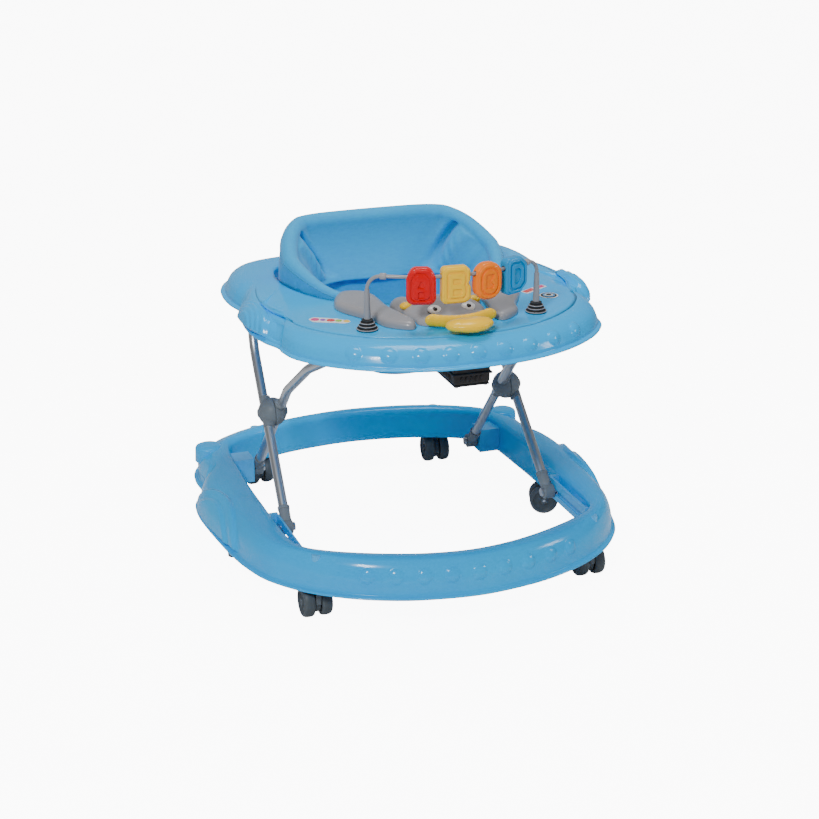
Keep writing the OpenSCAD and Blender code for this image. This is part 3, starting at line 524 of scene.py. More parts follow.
def tray_across(w, y):
    z, h, t = .394, .034, .003
    return [(0, z), (0, z + .0022), (.0025, z + .0036), (.0062, z + .0044), (.0082, z + .010), (.0145, z + .021),
            (.024, z + .0283), (.034, z + .0322), (.043, z + .0336), (.052, z + h), (.058, z + h),
            (w - .012, z + h), (w - .006, z + h - .0001),
            (w - .0015, z + h - .0015), (w, z + h - .006), (w, z + .02), (w, z + .004), (w - t, z + .004),
            (w - t, z + .02),
            (w - .008, z + h - t - .001), (w - .02, z + h - t), (.045, z + h - t), (.031, z + .0268),
            (.019, z + .018),
            (.0115, z + .009), (.0085, z + .002), (.004, z)]


def tray_relief(rows, s, total, climb):
    x, y = rows[..., 0], rows[..., 1]
    outside = smoothstep(.010, .016, climb)
    reach = np.hypot(y + .070, climb * 1.12)
    side = (abs(x) > .15) & (y < .09) & (climb < .10)
    arch = .0070 * (1 - smoothstep(.060, .069, reach)) + .0024 * (1 - smoothstep(.050, .0535, reach)) \
        + .0022 * (1 - smoothstep(.0415, .045, reach)) + .0020 * (1 - smoothstep(.033, .0365, reach))
    lift = np.where(side, arch, 0) * outside
    # the valley between the side arch and the front corner
    lift += np.where(side & (y < -.05), -.0055 * np.exp(-((reach - .084) / .012) ** 2), 0) * outside
    spots = [k * .0412 + .0003 * k ** 3 for k in range(-4, 5)]
    return lift + buttons(rows, s, total, climb, spots, .027)


tray_size, tray_y = (.534, .574), -.057
ts = stations(tray_outer, tray_size, tray_y, -.17, .02)
tray = moulding("tray_deck", ring_curve(tray_outer, *tray_size, tray_y, ts),
                ring_curve(tray_inner, *tray_size, tray_y, ts), tray_across, tray_relief, blue)
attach(tray, "tray")
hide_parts("tray_shell")

# ---- Seat ----
# Woven cloth with a fine basket weave, plus painted shade: the colour is darkened towards a shadow colour in the
# folds and hollows.
weave_and_fold_shade = bpy.data.node_groups.new("basket_weave_and_fold_shade", "ShaderNodeTree")
weave_and_fold_shade.interface.new_socket("Scale", in_out="INPUT", socket_type="NodeSocketFloat")
weave_and_fold_shade.interface.new_socket("Height", in_out="OUTPUT", socket_type="NodeSocketFloat")
weave_and_fold_shade.interface.new_socket("Depth", in_out="OUTPUT", socket_type="NodeSocketFloat")
n = weave_and_fold_shade.nodes
gin, gout = n.new("NodeGroupInput"), n.new("NodeGroupOutput")
coord, geo = n.new("ShaderNodeTexCoord"), n.new("ShaderNodeNewGeometry")
warp, weft, slub = n.new("ShaderNodeTexWave"), n.new("ShaderNodeTexWave"), n.new("ShaderNodeTexNoise")
warp.bands_direction, weft.bands_direction = "DIAGONAL", "Z"
slub.inputs["Scale"].default_value = 260
both, lumpy, fold_shade = n.new("ShaderNodeMath"), n.new("ShaderNodeMath"), n.new("ShaderNodeMapRange")
both.operation, lumpy.operation = "MULTIPLY", "ADD"
# painted shade: hollows and fold bottoms (low pointiness) map towards 0, which picks the shadow colour in the cloth
# material
fold_shade.inputs[1].default_value, fold_shade.inputs[2].default_value = 0.38, 0.52
for a, b in ((coord.outputs["Object"], warp.inputs["Vector"]), (coord.outputs["Object"], weft.inputs["Vector"]),
             (coord.outputs["Object"], slub.inputs["Vector"]), (gin.outputs["Scale"], warp.inputs["Scale"]),
             (gin.outputs["Scale"], weft.inputs["Scale"]), (warp.outputs["Fac"], both.inputs[0]),
             (weft.outputs["Fac"], both.inputs[1]),
             (both.outputs[0], lumpy.inputs[0]), (slub.outputs["Fac"], lumpy.inputs[1]),
             (lumpy.outputs[0], gout.inputs["Height"]),
             (geo.outputs["Pointiness"], fold_shade.inputs[0]), (fold_shade.outputs[0], gout.inputs["Depth"])):
    weave_and_fold_shade.links.new(a, b)


def cloth(name, colour, shadow):
    m = bpy.data.materials.new(name)
    m.use_nodes = True
    t = m.node_tree
    p = t.nodes["Principled BSDF"]
    g, fold_shade_mix, bump = t.nodes.new("ShaderNodeGroup"), t.nodes.new("ShaderNodeMix"), t.nodes.new("ShaderNodeBump")
    noise = t.nodes.new("ShaderNodeTexNoise")
    tint = t.nodes.new("ShaderNodeMix")
    g.node_tree = weave_and_fold_shade
    g.inputs["Scale"].default_value = 420
    fold_shade_mix.data_type = tint.data_type = "RGBA"
    tint.blend_type = "OVERLAY"
    tint.inputs[0].default_value = 0.12
    noise.inputs["Scale"].default_value = 35
    fold_shade_mix.inputs[6].default_value, fold_shade_mix.inputs[7].default_value = (*shadow, 1), (*colour, 1)
    p.inputs["Roughness"].default_value = 0.72
    p.inputs["Sheen Weight"].default_value = 0.25
    p.inputs["Sheen Roughness"].default_value = 0.4
    bump.inputs["Strength"].default_value, bump.inputs["Distance"].default_value = 0.16, 0.0006
    # painted shade: the shadow colour is blended in where the cloth surface is hollow
    t.links.new(g.outputs["Depth"], fold_shade_mix.inputs[0])
    t.links.new(fold_shade_mix.outputs[2], tint.inputs[6])
    t.links.new(noise.outputs["Fac"], tint.inputs[7])
    t.links.new(tint.outputs[2], p.inputs["Base Color"])
    t.links.new(g.outputs["Height"], bump.inputs["Height"])
    t.links.new(bump.outputs["Normal"], p.inputs["Normal"])
    m.diffuse_color = (*colour, 1)
    return m


fabric = cloth("seat_fabric", (0.0, 0.40, 0.82), (0.0, 0.16, 0.42))
thread = cloth("seam_thread", (0.0, 0.28, 0.58), (0.0, 0.14, 0.38))

# The padded seat back: one stuffed band standing in the opening, high and thick behind, with
# wings that fall forward along the sides. Two deep folds part the flat middle from the wings,
# and the inner face slopes in to meet the sling.
seat_y, half_wide, half_deep, deck = .022, .170, .128, .428
mouth = ring_curve(tray_inner, *tray_size, tray_y, np.arange(0, 36, .1))
mouth_angle = np.arctan2(mouth[:, 0], mouth[:, 1] - seat_y)
order = np.argsort(mouth_angle)
mouth_reach = np.hypot(mouth[:, 0], mouth[:, 1] - seat_y)[order]
mouth_angle = mouth_angle[order]
turns = [math.radians(a) for a in np.linspace(-158, 158, 317)]


def opening(x, y):
    """Distance from the seat's centre to the opening's edge in the direction of a point."""
    return float(np.interp(math.atan2(x, y - seat_y), mouth_angle, mouth_reach, period=math.tau))


def stuffing(a):
    d = abs(math.degrees(a))
    return (.0060 + .0085 / (1 + (d / 105) ** 6)) * (.3 + .7 * float(smoothstep(0, 1, (158 - d) / 18)))


def seat_rise(a):
    """How high the padded rim stands above the deck at angle a from the middle of the back."""
    d = abs(math.degrees(a))
    right = 1 if a > 0 else 0
    return .0655 / (1 + (d / (82 - 6 * right)) ** 6) - .005 + .011 * math.exp(-((d - 102) / 26) ** 2)


def seat_spot(a, drop):
    """Centre line of the padding: drop runs from 0 at the rim's top to 1 below the deck."""
    rise = seat_rise(a)
    lean = max(0, rise / .0655) * (1 - drop)
    sq = 1 + .04 * math.sin(2 * a) ** 2
    x = half_wide * sq * math.sin(a) * (1 - .05 * lean)
    y = seat_y + half_deep * sq * math.cos(a) + .04 * lean * max(0, math.cos(a * .85))
    far = math.hypot(x, y - seat_y)
    keep = min(1, (opening(x, y) - stuffing(a) - .0035 + .012 * lean) / far)
    return Vector((x * keep, seat_y + (y - seat_y) * keep, deck + rise * (1 - drop) - .026 * drop))


rows = []
for a in turns:
    d = abs(math.degrees(a))
    thick = stuffing(a)
    inward = Vector((-math.sin(a) / half_wide, -math.cos(a) / half_deep, 0)).normalized()
    ring = []
    for k in range(84):
        u = k / 84
        if u < .25:      # up the outside
            f = u / .25
            p = seat_spot(a, 1 - f) - inward * thick * (1 + .18 * math.sin(math.pi * f) * (1 if d < 100 else .3))
            p -= inward * .0006 * math.sin(d * .23 + 4 * f) * math.sin(math.pi * f)
        elif u < .42:    # over the rim
            f = (u - .25) / .17
            p = seat_spot(a, 0) - inward * thick * math.cos(math.pi * f) \
                + Vector((0, 0, thick * 1.1 * math.sin(math.pi * f)))
        elif u < .93:    # down the inside
            f = (u - .42) / .51
            fold_at = 56 - 24 * f ** .9
            dist = d - fold_at
            held = math.sin(math.pi * min(1, .12 + f * .98)) ** .6
            fold = math.exp(-(dist / (2.2 + 2.4 * f)) ** 2) * held
            lip = math.exp(-((dist - 9) / 7) ** 2) * held
            wing = math.exp(-((dist - 24) / 18) ** 2) * math.sin(math.pi * f)
            flat = 1 / (1 + (d / max(8, fold_at - 3)) ** 12) * math.sin(math.pi * min(1, f * 1.1))
            crease = .0007 * math.sin(d * .42 + 7 * f) * math.exp(-((d - 92) / 26) ** 2) * math.sin(math.pi * f)
            crease += .0010 * math.sin(d * .8 - 9 * f) * math.exp(-((dist - 9) / 6) ** 2) * math.sin(math.pi * f)
            slope = .030 * f ** 1.25 * (1 - .45 * float(smoothstep(100, 150, d)))
            p = seat_spot(a, f) + inward * (thick * (1 - .35 * f) + slope - .0190 * fold + .0105 * lip
                                            + .007 * wing - .0045 * flat + crease)
        else:            # back under
            f = (u - .93) / .07
            slope = .030 * (1 - .45 * float(smoothstep(100, 150, d)))
            wide = thick * .65 + slope
            p = seat_spot(a, 1) + inward * (wide + (-thick - wide) * f) - Vector((0, 0, .004 * math.sin(math.pi * f)))
        ring.append(tuple(p))
    rows.append(ring)
seat = grid_mesh("seat_padding", rows, fabric, wrap_rows=False)
bm = bmesh.new()
bm.from_mesh(seat.data)
bmesh.ops.holes_fill(bm, edges=[e for e in bm.edges if e.is_boundary], sides=0)
bmesh.ops.recalc_face_normals(bm, faces=bm.faces)
bm.to_mesh(seat.data)
bm.free()
relax = seat.modifiers.new("relax", "SMOOTH")
relax.factor, relax.iterations = .5, 2
only(seat)
bpy.ops.object.modifier_apply(modifier="relax")
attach(seat, "tray")
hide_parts("seat_back")

# Seam cord along the outer edge of the rim.
seam_line = []
for a in turns[20:-20]:
    out = Vector((math.sin(a) / half_wide, math.cos(a) / half_deep, 0)).normalized()
    seam_line.append(seat_spot(a, 0) + out * stuffing(a) + Vector((0, 0, .0005)))
seam = tube("rim_seam", seam_line, .0009, thread, sides=3)
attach(seam, "tray")

# The sling: the cloth bucket that hangs from the opening, cut away for the legs.
bucket = []
for i in range(144):
    a = math.tau * i / 144
    front = math.cos(a)
    ahead = float(smoothstep(.25, .8, front))
    col = []
    for j in range(41):
        d = j / 40
        back_shrink = np.interp(d, (0, .06, .12, .3, .55, .8, 1), (1, .92, .82, .77, .66, .5, .36))
        front_shrink = np.interp(d, (0, .06, .15, .3, .55, .8, 1), (1, .97, .91, .84, .72, .54, .40))
        shrink = back_shrink + (front_shrink - back_shrink) * ahead
        x, y = math.sin(a), -front * half_deep / half_wide
        far = opening(x, seat_y + y) - .0035 - .007 * (1 - ahead)
        size = far / math.hypot(x, y) * (shrink + .012 * math.sin(6 * a + 5 * d) * math.sin(math.pi * d))
        col.append((x * size, seat_y - .018 * d + y * size, .4245 - .1305 * math.sin(math.radians(90 * d))))
    bucket.append(col)
sling = grid_mesh("sling_cloth", bucket, fabric, wrap_cols=False)
bm = bmesh.new()
bm.from_mesh(sling.data)
bmesh.ops.holes_fill(bm, edges=[e for e in bm.edges if e.is_boundary and all(v.co.z < .3 for v in e.verts)], sides=0)
bm.normal_update()
legs = []
for f in bm.faces:
    c = f.calc_center_median()
    a = math.degrees(math.atan2(abs(c.x), -(c.y - seat_y + .01)))
    if ((a - 50) / 30) ** 2 + ((c.z - .312) / .017) ** 2 < 1:
        legs.append(f)
bmesh.ops.delete(bm, geom=legs, context="FACES")
bm.to_mesh(sling.data)
bm.free()
smooth = sling.modifiers.new("even", "SMOOTH")
smooth.factor, smooth.iterations = .5, 5
shell = sling.modifiers.new("cloth thickness", "SOLIDIFY")
shell.thickness, shell.offset = .003, 0
only(sling)
bpy.ops.object.modifier_apply(modifier="even")
bpy.ops.object.modifier_apply(modifier="cloth thickness")
smoothed(sling)
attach(sling, "tray")
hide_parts("seat_sling")

# ---- Toy bar ----
# Bent satin wire plugged into ribbed rubber boots, with a crimped collar at each end of its bow.
stem_x, stem_y, bar_z, bow_r = .130, -.225, .508, .205
bow_turn = math.radians(27)
apex = stem_y - stem_x * math.tan(bow_turn)
wire = bent([Vector((-stem_x, stem_y, .434)), Vector((-stem_x, stem_y, bar_z)), Vector((0, apex, bar_z)),
             Vector((stem_x, stem_y, bar_z)), Vector((stem_x, stem_y, .434))], [0, .02, bow_r, .02, 0])
bar = tube("toy_wire", wire, .00275, toy_grey, sides=10)
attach(bar, "tray")
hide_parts("toy_bar")
boots, rings, sleeves = [], [], []
for side in (-1, 1):
    place = Matrix.Translation((side * stem_x, stem_y, deck))
    boots.append(moved(lathe("boot", [
        (0, 0), (.0150, 0), (.0156, .0008), (.0156, .0022), (.0148, .0030), (.0128, .0034), (.0122, .0044),
                                      (.0128, .0054), (.0128, .0066),
        (.0120, .0074), (.0106, .0078), (.0100, .0088), (.0106, .0098), (.0106, .0110), (.0098, .0118),
                                      (.0086, .0122),
        (.0080, .0132), (.0086, .0142), (.0086, .0152), (.0074, .0160), (.0052, .0165), (0, .0165)], rubber), place))
    sleeves.append(moved(lathe("sleeve", [(0, .0160), (.0050, .0160), (.0050, .020), (.0044, .036), (.0037, .058),
                                          (.0034, .0600), (.0028, .0602), (0, .0602)], toy_grey), place))
    for r, z in ((.0157, .0022), (.0129, .0065), (.0107, .0109)):
        ring = added(bpy.ops.mesh.primitive_torus_add, major_radius=r - .0006, minor_radius=.0008,
                     major_segments=64, minor_segments=10, location=(side * stem_x, stem_y, deck + z))
        ring.data.materials.append(toy_grey)
        rings.append(ring)
boot = crisp(joined("stem_boots", boots), 45)
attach(boot, "tray")
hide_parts("bar_boots")
trim = crisp(joined("boot_rings", rings + sleeves), 60)
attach(trim, "tray")
collars = []
for side in (-1, 1):
    at = Vector((side * .1095, stem_y - (stem_x - .1095) * math.tan(bow_turn), bar_z))
    turn = Matrix.Rotation(bow_turn * side, 4, "Z")
    c = lathe("collar", [(.0028, -.0045), (.0042, -.0045), (.0048, -.0038), (.0048, .0038), (.0042, .0045),
                         (.0028, .0045), (.0028, -.0045)], toy_grey, 32)
    collars.append(moved(c, Matrix.Translation(at) @ turn @ Matrix.Rotation(math.pi / 2, 4, "Y")))
collar = crisp(joined("bow_collars", collars), 45)
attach(collar, "tray")
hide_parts("bar_collars")

# ---- Letter blocks ----
# Four blocks that spin on the bow. Each is a rounded block with a raised band near its edge and
# a raised letter in the middle; the letter's counters are sunk, and the bar's bore runs across.


def rounded(points, r):
    """A closed outline with every corner rounded to radius r."""
    out = []
    k = len(points)
    for i in range(k):
        p, a, b = (Vector((*points[i], 0)), Vector((*points[i - 1], 0)), Vector((*points[(i + 1) % k], 0)))
        u, v = (p - a).normalized(), (b - p).normalized()
        angle = u.angle(v)
        cut = min(r * math.tan(angle / 2), (p - a).length * .49, (b - p).length * .49)
        rr = cut / math.tan(angle / 2)
        start = p - u * cut
        across = (v - u * u.dot(v)).normalized()
        centre = start + across * rr
        out += [(centre - across * rr * math.cos(angle * j / 7) + u * rr * math.sin(angle * j / 7)).xy
                for j in range(8)]
    return out


def slab(name, outlines, thickness, bevel, material):
    """A flat plate with rounded edges, standing in X-Z, from closed outlines; inner ones are holes."""
    cu = bpy.data.curves.new(name, "CURVE")
    cu.dimensions, cu.fill_mode = "2D", "BOTH"
    cu.extrude, cu.bevel_depth, cu.bevel_resolution, cu.offset = thickness / 2 - bevel, bevel, 3, -bevel
    for pts in outlines:
        sp = cu.splines.new("POLY")
        sp.points.add(len(pts) - 1)
        sp.use_cyclic_u = True
        for q, p in zip(sp.points, pts):
            q.co = (p[0], p[1], 0, 1)
    ob = bpy.data.objects.new(name, cu)
    bpy.context.scene.collection.objects.link(ob)
    only(ob)
    bpy.ops.object.convert(target="MESH")
    ob = bpy.context.object
    faced_out(ob.data, weld=1e-5)
    ob.data.materials.clear()
    ob.data.materials.append(material)
    ob.data.transform(Matrix.Rotation(math.pi / 2, 4, "X"))
    return ob


def shrunk(outline, inset, cx=0, cz=-.0125, w=.0215, h=.027):
    return [(cx + (x - cx) * (w - inset) / w, cz + (z - cz) * (h - inset) / h) for x, z in outline]


def mm(points, r):
    return rounded([(x / 1000, z / 1000) for x, z in points], r / 1000)


letters = {
    "a": (red, mm([(-21.5, -39.5), (-21, 0), (-13, 14.5), (13, 14.5), (21, 0), (21.5, -39.5)], 11),
          [mm([(-4.8, -14), (4.8, -14), (0, -3.5)], 1), mm([(-4.4, -29.5), (4.4, -29.5), (3.6, -20), (-3.6, -20)],
                                                           1)]),
    "b": (yellow, mm([(-21.5, -39.5), (-21.5, 14.5), (14, 14.5), (20.5, 9), (20.5, -7), (17.5, -11.5), (21.5, -16),
                      (21.5, -34), (14, -39.5)], 7),
          [mm([(-6, -10.5), (-6, -3), (5, -3), (6, -5), (6, -8.5), (5, -10.5)], 1.4),
           mm([(-6, -27), (-6, -18), (6, -18), (7.5, -20.5), (7.5, -24.5), (6, -27)], 1.4)]),
    "c": (orange, mm([(-21.5, -39.5), (-21.5, 14.5), (21.5, 14.5), (21.5, -39.5)], 19),
          [mm([(-6.5, -22.5), (-6.5, -2), (6, -2), (6, -7.5), (2, -10), (2, -15), (6, -17.5), (6, -22.5)], 2.2)]),
    "d": (letter_blue, mm([(-21.5, -39.5), (-21.5, 14.5), (8, 14.5), (21.5, 3), (21.5, -28), (8, -39.5)], 8),
          [mm([(-6.5, -24), (-6.5, -1), (1, -1), (6.5, -6), (6.5, -19), (1, -24)], 2)])}
bow_y = apex + bow_r / math.cos(bow_turn)
for i, letter in enumerate("abcd"):
    paint, outline, counters = letters[letter]
    layers = [slab("block", [outline], .0150, .0032, paint),
              slab("band", [shrunk(outline, .0026), shrunk(outline, .0068)], .0186, .0014, paint),
              slab("sign", [shrunk(outline, .0092)] + counters, .0200, .0012, paint)]
    phi = math.radians(-17.1 + 13.8 * i)
    at = Matrix.Translation((bow_r * math.sin(phi), bow_y - bow_r * math.cos(phi), bar_z)) \
        @ Matrix.Rotation(phi, 4, "Z")
    drill = added(bpy.ops.mesh.primitive_cylinder_add, vertices=40, radius=.0044, depth=.08,
                  rotation=(0, math.pi / 2, 0))
    for o in layers:
        cut = o.modifiers.new("bore", "BOOLEAN")
        cut.operation, cut.object, cut.solver = "DIFFERENCE", drill, "EXACT"
        only(o)
        bpy.ops.object.modifier_apply(modifier="bore")
    bpy.data.objects.remove(drill)
    block = moved(joined(f"letter_{letter}_piece", layers), at)
    crisp(block, 40)
    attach(block, f"letter_{letter}_block")
    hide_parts(f"letter_{letter}")

# ---- Animal toy ----
# A soft-shaped head with ear lobes between two pillowy wings, eyes with printed pupils, and a
# yellow beak whose front pad is the tune button.


def blob(name, balls, voxel, rounds, material, floor=None):
    """One smooth lump from overlapping ellipsoids (centre, radii), flattened at the floor height."""
    parts = []
    for centre, radii in balls:
        parts.append(added(bpy.ops.mesh.primitive_uv_sphere_add, segments=48, ring_count=24, radius=1,
                           location=centre, scale=radii))
    return fused(joined(name, parts), voxel, rounds, material, floor)


def fused(o, voxel, rounds, material, floor=None):
    only(o)
    remesh = o.modifiers.new("fuse", "REMESH")
    remesh.mode, remesh.voxel_size = "VOXEL", voxel
    relax = o.modifiers.new("relax", "SMOOTH")
    relax.factor, relax.iterations = .5, rounds
    bpy.ops.object.modifier_apply(modifier="fuse")
    bpy.ops.object.modifier_apply(modifier="relax")
    if floor is not None:
        bm = bmesh.new()
        bm.from_mesh(o.data)
        bmesh.ops.bisect_plane(bm, geom=bm.verts[:] + bm.edges[:] + bm.faces[:], plane_co=(0, 0, floor),
                               plane_no=(0, 0, 1), clear_inner=True)
        bmesh.ops.holes_fill(bm, edges=[e for e in bm.edges if e.is_boundary], sides=0)
        bm.to_mesh(o.data)
        bm.free()
    o.data.materials.clear()
    o.data.materials.append(material)
    return smoothed(o)


top = .4283
head = blob("animal_head", [((0, -.186, top), (.062, .060, .0225)), ((-.050, -.150, top), (.020, .026, .018)),
                            ((.050, -.150, top), (.020, .026, .018)), ((0, -.225, top), (.056, .028, .016))], .002,
            8, toy_grey, top)
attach(head, "tray")
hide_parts("toy_head")

wing_edge = [(-.141, -.099), (-.120, -.063), (-.089, -.068), (-.075, -.094), (-.073, -.159), (-.060, -.226),
             (-.070, -.250),
             (-.101, -.226), (-.112, -.192), (-.141, -.135)]
for side, name in ((1, "left"), (-1, "right")):
    pts = spline(wing_edge, np.arange(0, len(wing_edge), .125), True)
    wing = slab("wing", [[tuple(p) for p in pts]], .024, .0085, toy_grey)
    wing.data.transform(Matrix.Rotation(-math.pi / 2, 4, "X"))
    wing = moved(wing, Matrix.Diagonal((side, 1, 1, 1)))
    wing.data.transform(Matrix.Translation((0, 0, top)))
    faced_out(wing.data)
    wing.name = "wing_" + name
    wing = fused(wing, .0016, 26, toy_grey, top)
    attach(wing, "tray")
    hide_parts("toy_wing_" + name)

eyes = []
for side in (-1, 1):
    for radii, lift, paint in (((.0105, .0085, .0030), 0, white), ((.0050, .0048, .0026), .0010, black),
                               ((.0013, .0013, .0006), .0036, white)):
        e = added(bpy.ops.mesh.primitive_uv_sphere_add, segments=40, ring_count=20, radius=1)
        e.data.materials.append(paint)
        shift = Matrix.Translation((.0018 if lift > .003 else 0, .0012 if lift > .003 else -.0008 * (lift > 0), lift))
        socket = Matrix.Translation((side * .026, -.219, .4455)) @ Matrix.Rotation(math.radians(32), 4, "X")
        e.data.transform(socket @ shift @ Matrix.Diagonal((*radii, 1)))
        eyes.append(smoothed(e))
eye = joined("animal_eyes", eyes)
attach(eye, "tray")
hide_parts("toy_eyes")

# Small moulded tufts beside the ears.
tufts = blob("ear_tufts", [((-.052, -.172, .440), (.011, .008, .006)), ((.052, -.172, .440), (.011, .008, .006))],
             .0009, 4, yellow)
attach(tufts, "tray")

brow = [((.002 + .043 * t, -.2585 + .006 * t * t, .4375 + .0035 * t * t), (.012, .0058, .0092))
        for t in np.linspace(-1, 1, 11)]
upper = blob("beak_plate", brow, .0014, 6, yellow, top)
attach(upper, "tray")
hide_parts("beak_base")
pad = blob("beak_pad_piece", [((-.014, -.2925, .4425), (.022, .0165, .0092)),
                              ((.014, -.2925, .4425), (.022, .0165, .0092)),
                              ((.002, -.298, .4425), (.029, .0175, .0098)),
                              ((.002, -.286, .4425), (.033, .0120, .0088))], .0013, 6, yellow)
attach(pad, "beak_pad")
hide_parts("beak_button")

# ---- Sound module ----
# A dark case hung under the tray's front, with a battery door, a latch and a slotted grille.


def box_piece(name, low, high, bevel, material, draft=0.0):
    o = added(bpy.ops.mesh.primitive_cube_add, size=1, location=[(a + b) / 2 for a, b in zip(low, high)],
              scale=[b - a for a, b in zip(low, high)])
    if draft:
        cx, cy = (low[0] + high[0]) / 2, (low[1] + high[1]) / 2
        for v in o.data.vertices:
            if v.co.z < (low[2] + high[2]) / 2:
                v.co.x += draft * (1 if v.co.x < cx else -1)
                v.co.y += draft * (1 if v.co.y < cy else -1)
    b = o.modifiers.new("edges", "BEVEL")
    b.width, b.segments = bevel, 4
    only(o)
    bpy.ops.object.modifier_apply(modifier="edges")
    o.data.materials.append(material)
    o.name = name
    return crisp(o, 40)


low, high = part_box("music_case")
case = box_piece("sound_case", (low.x - .001, low.y - .001, low.z + .0002), (high.x + .001, high.y + .001, .4235),
                 .003, black, .0016)
band = box_piece("case_band", (low.x - .0022, low.y - .0022, low.z + .014),
                 (high.x + .0022, high.y + .0022, low.z + .0175), .0012, black)
ribs = []
for x0, x1 in ((low.x - .0012, low.x + .004), (high.x - .004, high.x + .0012)):
    for y0 in [low.y + .016 + .0065 * k for k in range(8)]:
        ribs.append(box_piece("rib", (x0, y0, low.z + .0045), (x1, y0 + .0025, low.z + .0125), .0008, black))
for x0 in [low.x + .010 + .0075 * k for k in range(5)]:
    ribs.append(box_piece("rib", (x0, low.y - .0012, low.z + .0045), (x0 + .003, low.y + .004, low.z + .0125),
                          .0008, black))
case = joined("sound_module_case", [case, band] + ribs)
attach(case, "tray")
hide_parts("music_case")
low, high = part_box("battery_door")
door = box_piece("door", (low.x + .0012, low.y + .0012, low.z), (high.x - .0012, high.y - .0012, high.z), .001, black)
latch = box_piece("latch", (-.009, low.y + .006, low.z - .0011), (.009, low.y + .013, low.z + .001), .0008, black)
grille = [box_piece("slot", (-.012, -.246 + .0045 * k, low.z - .0007), (.012, -.2442 + .0045 * k, low.z + .001),
                    .0005, black) for k in range(6)]
door = joined("battery_cover", [door, latch] + grille)
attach(door, "tray")
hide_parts("battery_door")

# ---- Decals ----
# Plain shapes on white backings in place of printed words: a row of bright spots on one side, a
# striped tab and a target ring on the other.
ink = {"pink": (.75, .02, .22), "lime": (.3, .62, .05), "sun": (.95, .6, .05), "scarlet": (.72, .02, .03),
       "sky": (.05, .35, .75), "violet": (.3, .06, .5)}
inks = {k: plastic("ink_" + k, c, .3, coat=.5, peel_depth=.01) for k, c in ink.items()}


def decal(name, outline, z, material):
    o = slab(name, [outline], .0004, .0001, material)
    o.data.transform(Matrix.Translation((0, 0, z)) @ Matrix.Rotation(-math.pi / 2, 4, "X"))
    return o


def oval(cx, cy, rx, ry, k=40):
    return [(cx + rx * math.cos(math.tau * i / k), cy + ry * math.sin(math.tau * i / k)) for i in range(k)]


deck_z = .4281
left = [decal("backing", rounded([(-.196, -.151), (-.193, -.166), (-.1500, -.1880), (-.1380, -.1820),
                                  (-.1560, -.1620), (-.1860, -.1440)], .006), deck_z + .0002, white)]
for k, (name, rx, ry) in enumerate((("pink", .0062, .0062), ("violet", .004, .0045), ("scarlet", .0062, .0058),
                                    ("lime", .0050, .0052), ("sun", .0048, .0050))):
    left.append(decal("spot", oval(-.1870 + .0102 * k, -.1560 - .0056 * k, rx, ry), deck_z + .0006, inks[name]))
strip = joined("spot_decal", left)
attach(strip, "tray")
right = [decal("backing", rounded([(.147, -.124), (.152, -.138), (.196, -.112), (.192, -.099)], .003),
               deck_z + .0002, white),
         decal("stripe", rounded([(.150, -.1245), (.1535, -.1335), (.172, -.1225), (.169, -.1135)], .001),
               deck_z + .0006, inks["scarlet"]),
         decal("stripe", rounded([(.172, -.1120), (.175, -.1205), (.1925, -.1105), (.190, -.1025)], .001),
               deck_z + .0006, inks["pink"])]
for k, (r, paint) in enumerate(((.0125, white), (.0105, black), (.0082, inks["sky"]), (.0058, white),
                                (.0034, black))):
    right.append(decal("ring", oval(.1800, -.1560, r * 1.15, r * 1.15), deck_z + .0002 + .0003 * k, paint))
target = joined("ring_decal", right)
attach(target, "tray")

# ---- Floor, camera and light ----
# A seamless pale sweep, a soft key from the front left, a broad top light and a low fill. The
# sweep and the sky shine only for the camera, so the gloss on the plastic stays clean.
camera_glow = 11.0
stone = bpy.data.materials.new("pale_floor")
stone.use_nodes = True
t = stone.node_tree
p = t.nodes["Principled BSDF"]
grain, tone = t.nodes.new("ShaderNodeTexNoise"), t.nodes.new("ShaderNodeMix")
tone.data_type = "RGBA"
grain.inputs["Scale"].default_value = 60
tone.inputs[6].default_value, tone.inputs[7].default_value = (.86, .86, .87, 1), (.9, .9, .9, 1)
t.links.new(grain.outputs["Fac"], tone.inputs[0])
t.links.new(tone.outputs[2], p.inputs["Base Color"])
p.inputs["Roughness"].default_value = .55
t.links.new(tone.outputs[2], p.inputs["Emission Color"])
seen, level = t.nodes.new("ShaderNodeLightPath"), t.nodes.new("ShaderNodeMath")
level.operation = "MULTIPLY_ADD"
level.inputs[1].default_value, level.inputs[2].default_value = camera_glow, .05
t.links.new(seen.outputs["Is Camera Ray"], level.inputs[0])
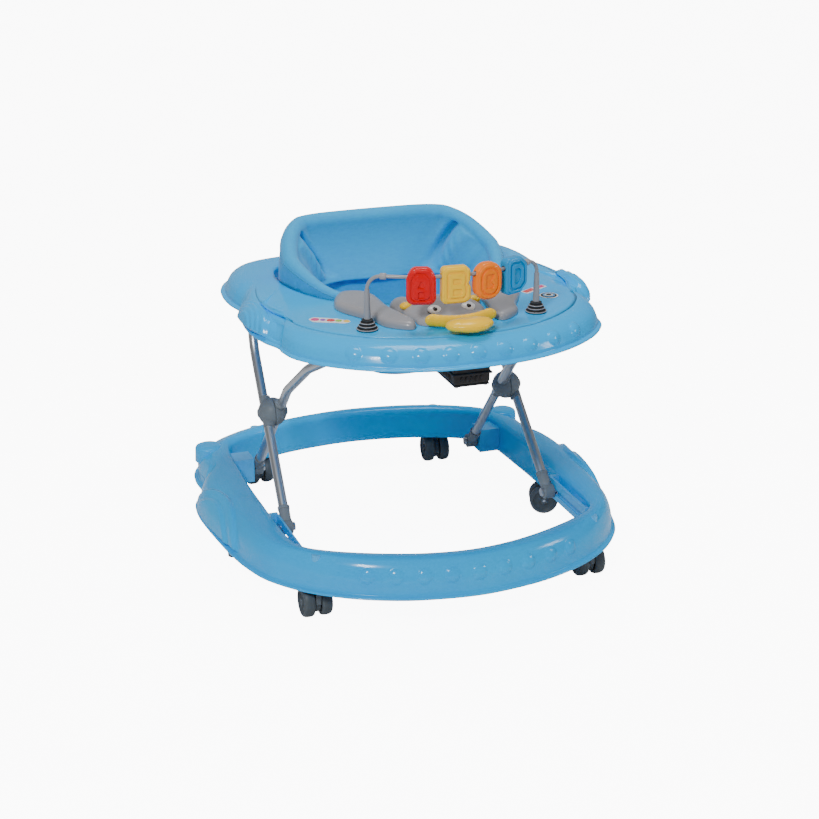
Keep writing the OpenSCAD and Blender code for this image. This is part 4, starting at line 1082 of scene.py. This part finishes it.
t.links.new(level.outputs[0], p.inputs["Emission Strength"])
floor = []
for k in range(49):
    a = k / 48
    if a < .5:
        y, z = -3.2 + a * 2 * 5.6, 0
    else:
        q = (a - .5) * 2
        y, z = 2.4 + 1.2 * math.sin(q * math.pi / 2), 1.2 - 1.2 * math.cos(q * math.pi / 2)
        # the last row carries the sweep up past the top of the picture
        z += 2.5 if k == 48 else 0
    floor.append([(-6, y, z), (6, y, z)])
sweep = grid_mesh("studio_sweep", floor, stone, wrap_rows=False, wrap_cols=False)
sweep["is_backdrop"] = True

cam_data = bpy.data.cameras.new("camera")
cam_data.lens, cam_data.sensor_width = 87.91, 36
cam = bpy.data.objects.new("camera", cam_data)
cam.location = (-.9733, -2.8078, 1.3008)
cam.rotation_euler = (math.radians(69.90), 0, math.radians(-19.35))
bpy.context.scene.collection.objects.link(cam)
bpy.context.scene.camera = cam


def softbox(name, place, aim, size, power):
    data = bpy.data.lights.new(name, "AREA")
    data.shape, data.size, data.size_y, data.energy = "RECTANGLE", size[0], size[1], power
    o = bpy.data.objects.new(name, data)
    o.location = place
    o.rotation_euler = (Vector(aim) - Vector(place)).to_track_quat("-Z", "Y").to_euler()
    bpy.context.scene.collection.objects.link(o)
    return o


softbox("key", (-1.5, -2.0, 2.1), (0, 0, .25), (.42, .42), 56)
softbox("top", (.2, .2, 2.5), (0, 0, .3), (.8, .8), 26)
softbox("fill", (2.3, -1.2, 1.3), (0, 0, .25), (.45, .45), 13)
world = bpy.data.worlds.new("studio")
bpy.context.scene.world = world
world.use_nodes = True
t = world.node_tree
sky = t.nodes["Background"]
sky.inputs[0].default_value = (1, 1, 1, 1)
seen, glow = t.nodes.new("ShaderNodeLightPath"), t.nodes.new("ShaderNodeMath")
glow.operation = "MULTIPLY_ADD"
glow.inputs[1].default_value, glow.inputs[2].default_value = camera_glow, .2
t.links.new(seen.outputs["Is Camera Ray"], glow.inputs[0])
t.links.new(glow.outputs[0], sky.inputs[1])

low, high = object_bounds()
